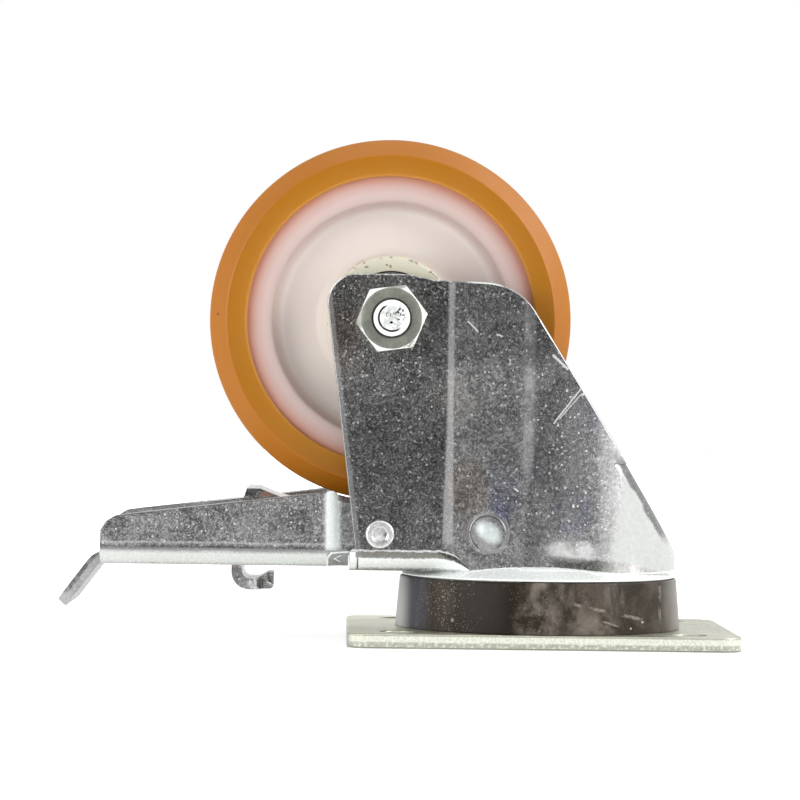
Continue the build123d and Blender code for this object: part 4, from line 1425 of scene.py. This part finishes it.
def rays(tree, *kinds):
    path = addNode(tree, "ShaderNodeLightPath").outputs
    return [Field(tree, path[f"Is {kind} Ray"]) for kind in kinds]


def makeFloor():
    bpy.ops.object.select_all(action="DESELECT")
    bpy.ops.mesh.primitive_circle_add(vertices=96, radius=4.0, fill_type="NGON")
    floor = bpy.context.active_object
    floor.name = "floorSheet"
    material, tree, shader = newMaterial("floorPale", Roughness=0.35, Specular_IOR_Level=0.3)
    place = objectCoordinates(tree)
    x, y, z = axes(place)
    pale = blendColour(noise(place, 3.0), grey(0.84), grey(0.86))
    camera, glossy, diffuse = rays(tree, "Camera", "Glossy", "Diffuse")
    # the dark side of the studio as the metal mirrors it
    away = glossy * remap(y, -0.1, -0.3)
    setInput(shader.inputs["Base Color"], blendColour(away, pale, grey(0.04)))
    # plain white to the camera, brighter with distance; dimmer to what it lights
    far = vectors("LENGTH", place, (0.0, 0.0, 0.0), "Value")
    seen = camera * remap(far, 0.2, 0.9, 0.45, 1.2)
    shader.inputs["Emission Color"].default_value = (1, 1, 1, 1)
    glow = highest(seen, glossy * (0.3 - away), diffuse * 0.45)
    setInput(shader.inputs["Emission Strength"], glow)
    dress(floor, material)


def makeWorld():
    world = bpy.data.worlds.new("studioWorld")
    bpy.context.scene.world = world
    world.use_nodes = True
    tree = world.node_tree
    tree.nodes.clear()
    camera, glossy, through = rays(tree, "Camera", "Glossy", "Transmission")
    direction = nodeField(tree, "ShaderNodeTexCoord", output="Generated")
    x, y, z = axes(direction)
    # dark on the side that faces the nut, with a bright window high on the right
    gloss = remap(y * -1.0 + x * -0.15, 0.55, 0.88, 1.0, 0.06)
    window = vectors("DOT_PRODUCT", direction, (0.7, 0.0, 0.71), "Value")
    gloss = highest(gloss, remap(window, 0.86, 0.97, 0.0, 3.0))
    strength = blendValue(highest(camera, through), blendValue(glossy, 0.5, gloss), 1.0)
    light = addNode(tree, "ShaderNodeBackground", {"Color": (1, 1, 1, 1), "Strength": strength})
    output = tree.nodes.new("ShaderNodeOutputWorld")
    tree.links.new(light.outputs[0], output.inputs[0])


# name: place, size across and power
lamps = {
    "keyLamp": ((1.0, -0.5, 0.6), 0.9, 9.5),
    "fillLamp": ((-0.9, -0.7, 0.2), 0.9, 7.5),
    "topLamp": ((0.1, 0.2, 1.2), 1.2, 1.5),
}
lampTarget = (-0.02, 0.0, 0.06)


def makeLamp(name, place, size, power):
    bpy.ops.object.light_add(type="AREA", location=place)
    lamp = bpy.context.active_object
    lamp.name = name
    lamp.data.shape = "DISK"
    lamp.data.size = size
    lamp.data.energy = power
    aim = Vector(lampTarget) - Vector(place)
    lamp.rotation_euler = aim.to_track_quat("-Z", "Y").to_euler()


# turns are from looking straight along Y, in radians: about the upright, up, and roll
mainCamera = {
    "place": (-0.05573, -0.92339, 0.06477),
    "turn": -0.01774,
    "up": 0.00239,
    "roll": 0.01378,
    "lens": 147.96,
    "sensor": 36.0,
}


def makeCamera():
    bpy.ops.object.camera_add()
    camera = bpy.context.active_object
    camera.name = "mainCamera"
    camera.data.sensor_width = mainCamera["sensor"]
    camera.data.lens = mainCamera["lens"]
    camera.data.clip_start = 0.01
    camera.data.clip_end = 20.0
    turn = Matrix.Rotation(mainCamera["turn"], 4, "Z")
    turn = turn @ Matrix.Rotation(math.pi / 2 + mainCamera["up"], 4, "X")
    turn = turn @ Matrix.Rotation(mainCamera["roll"], 4, "Z")
    camera.matrix_world = Matrix.Translation(mainCamera["place"]) @ turn
    bpy.context.scene.camera = camera


makeFloor()
makeWorld()
for name, settings in lamps.items():
    makeLamp(name, *settings)
makeCamera()
bpy.context.scene.view_settings.view_transform = "Standard"
print("floor, light and camera ready")
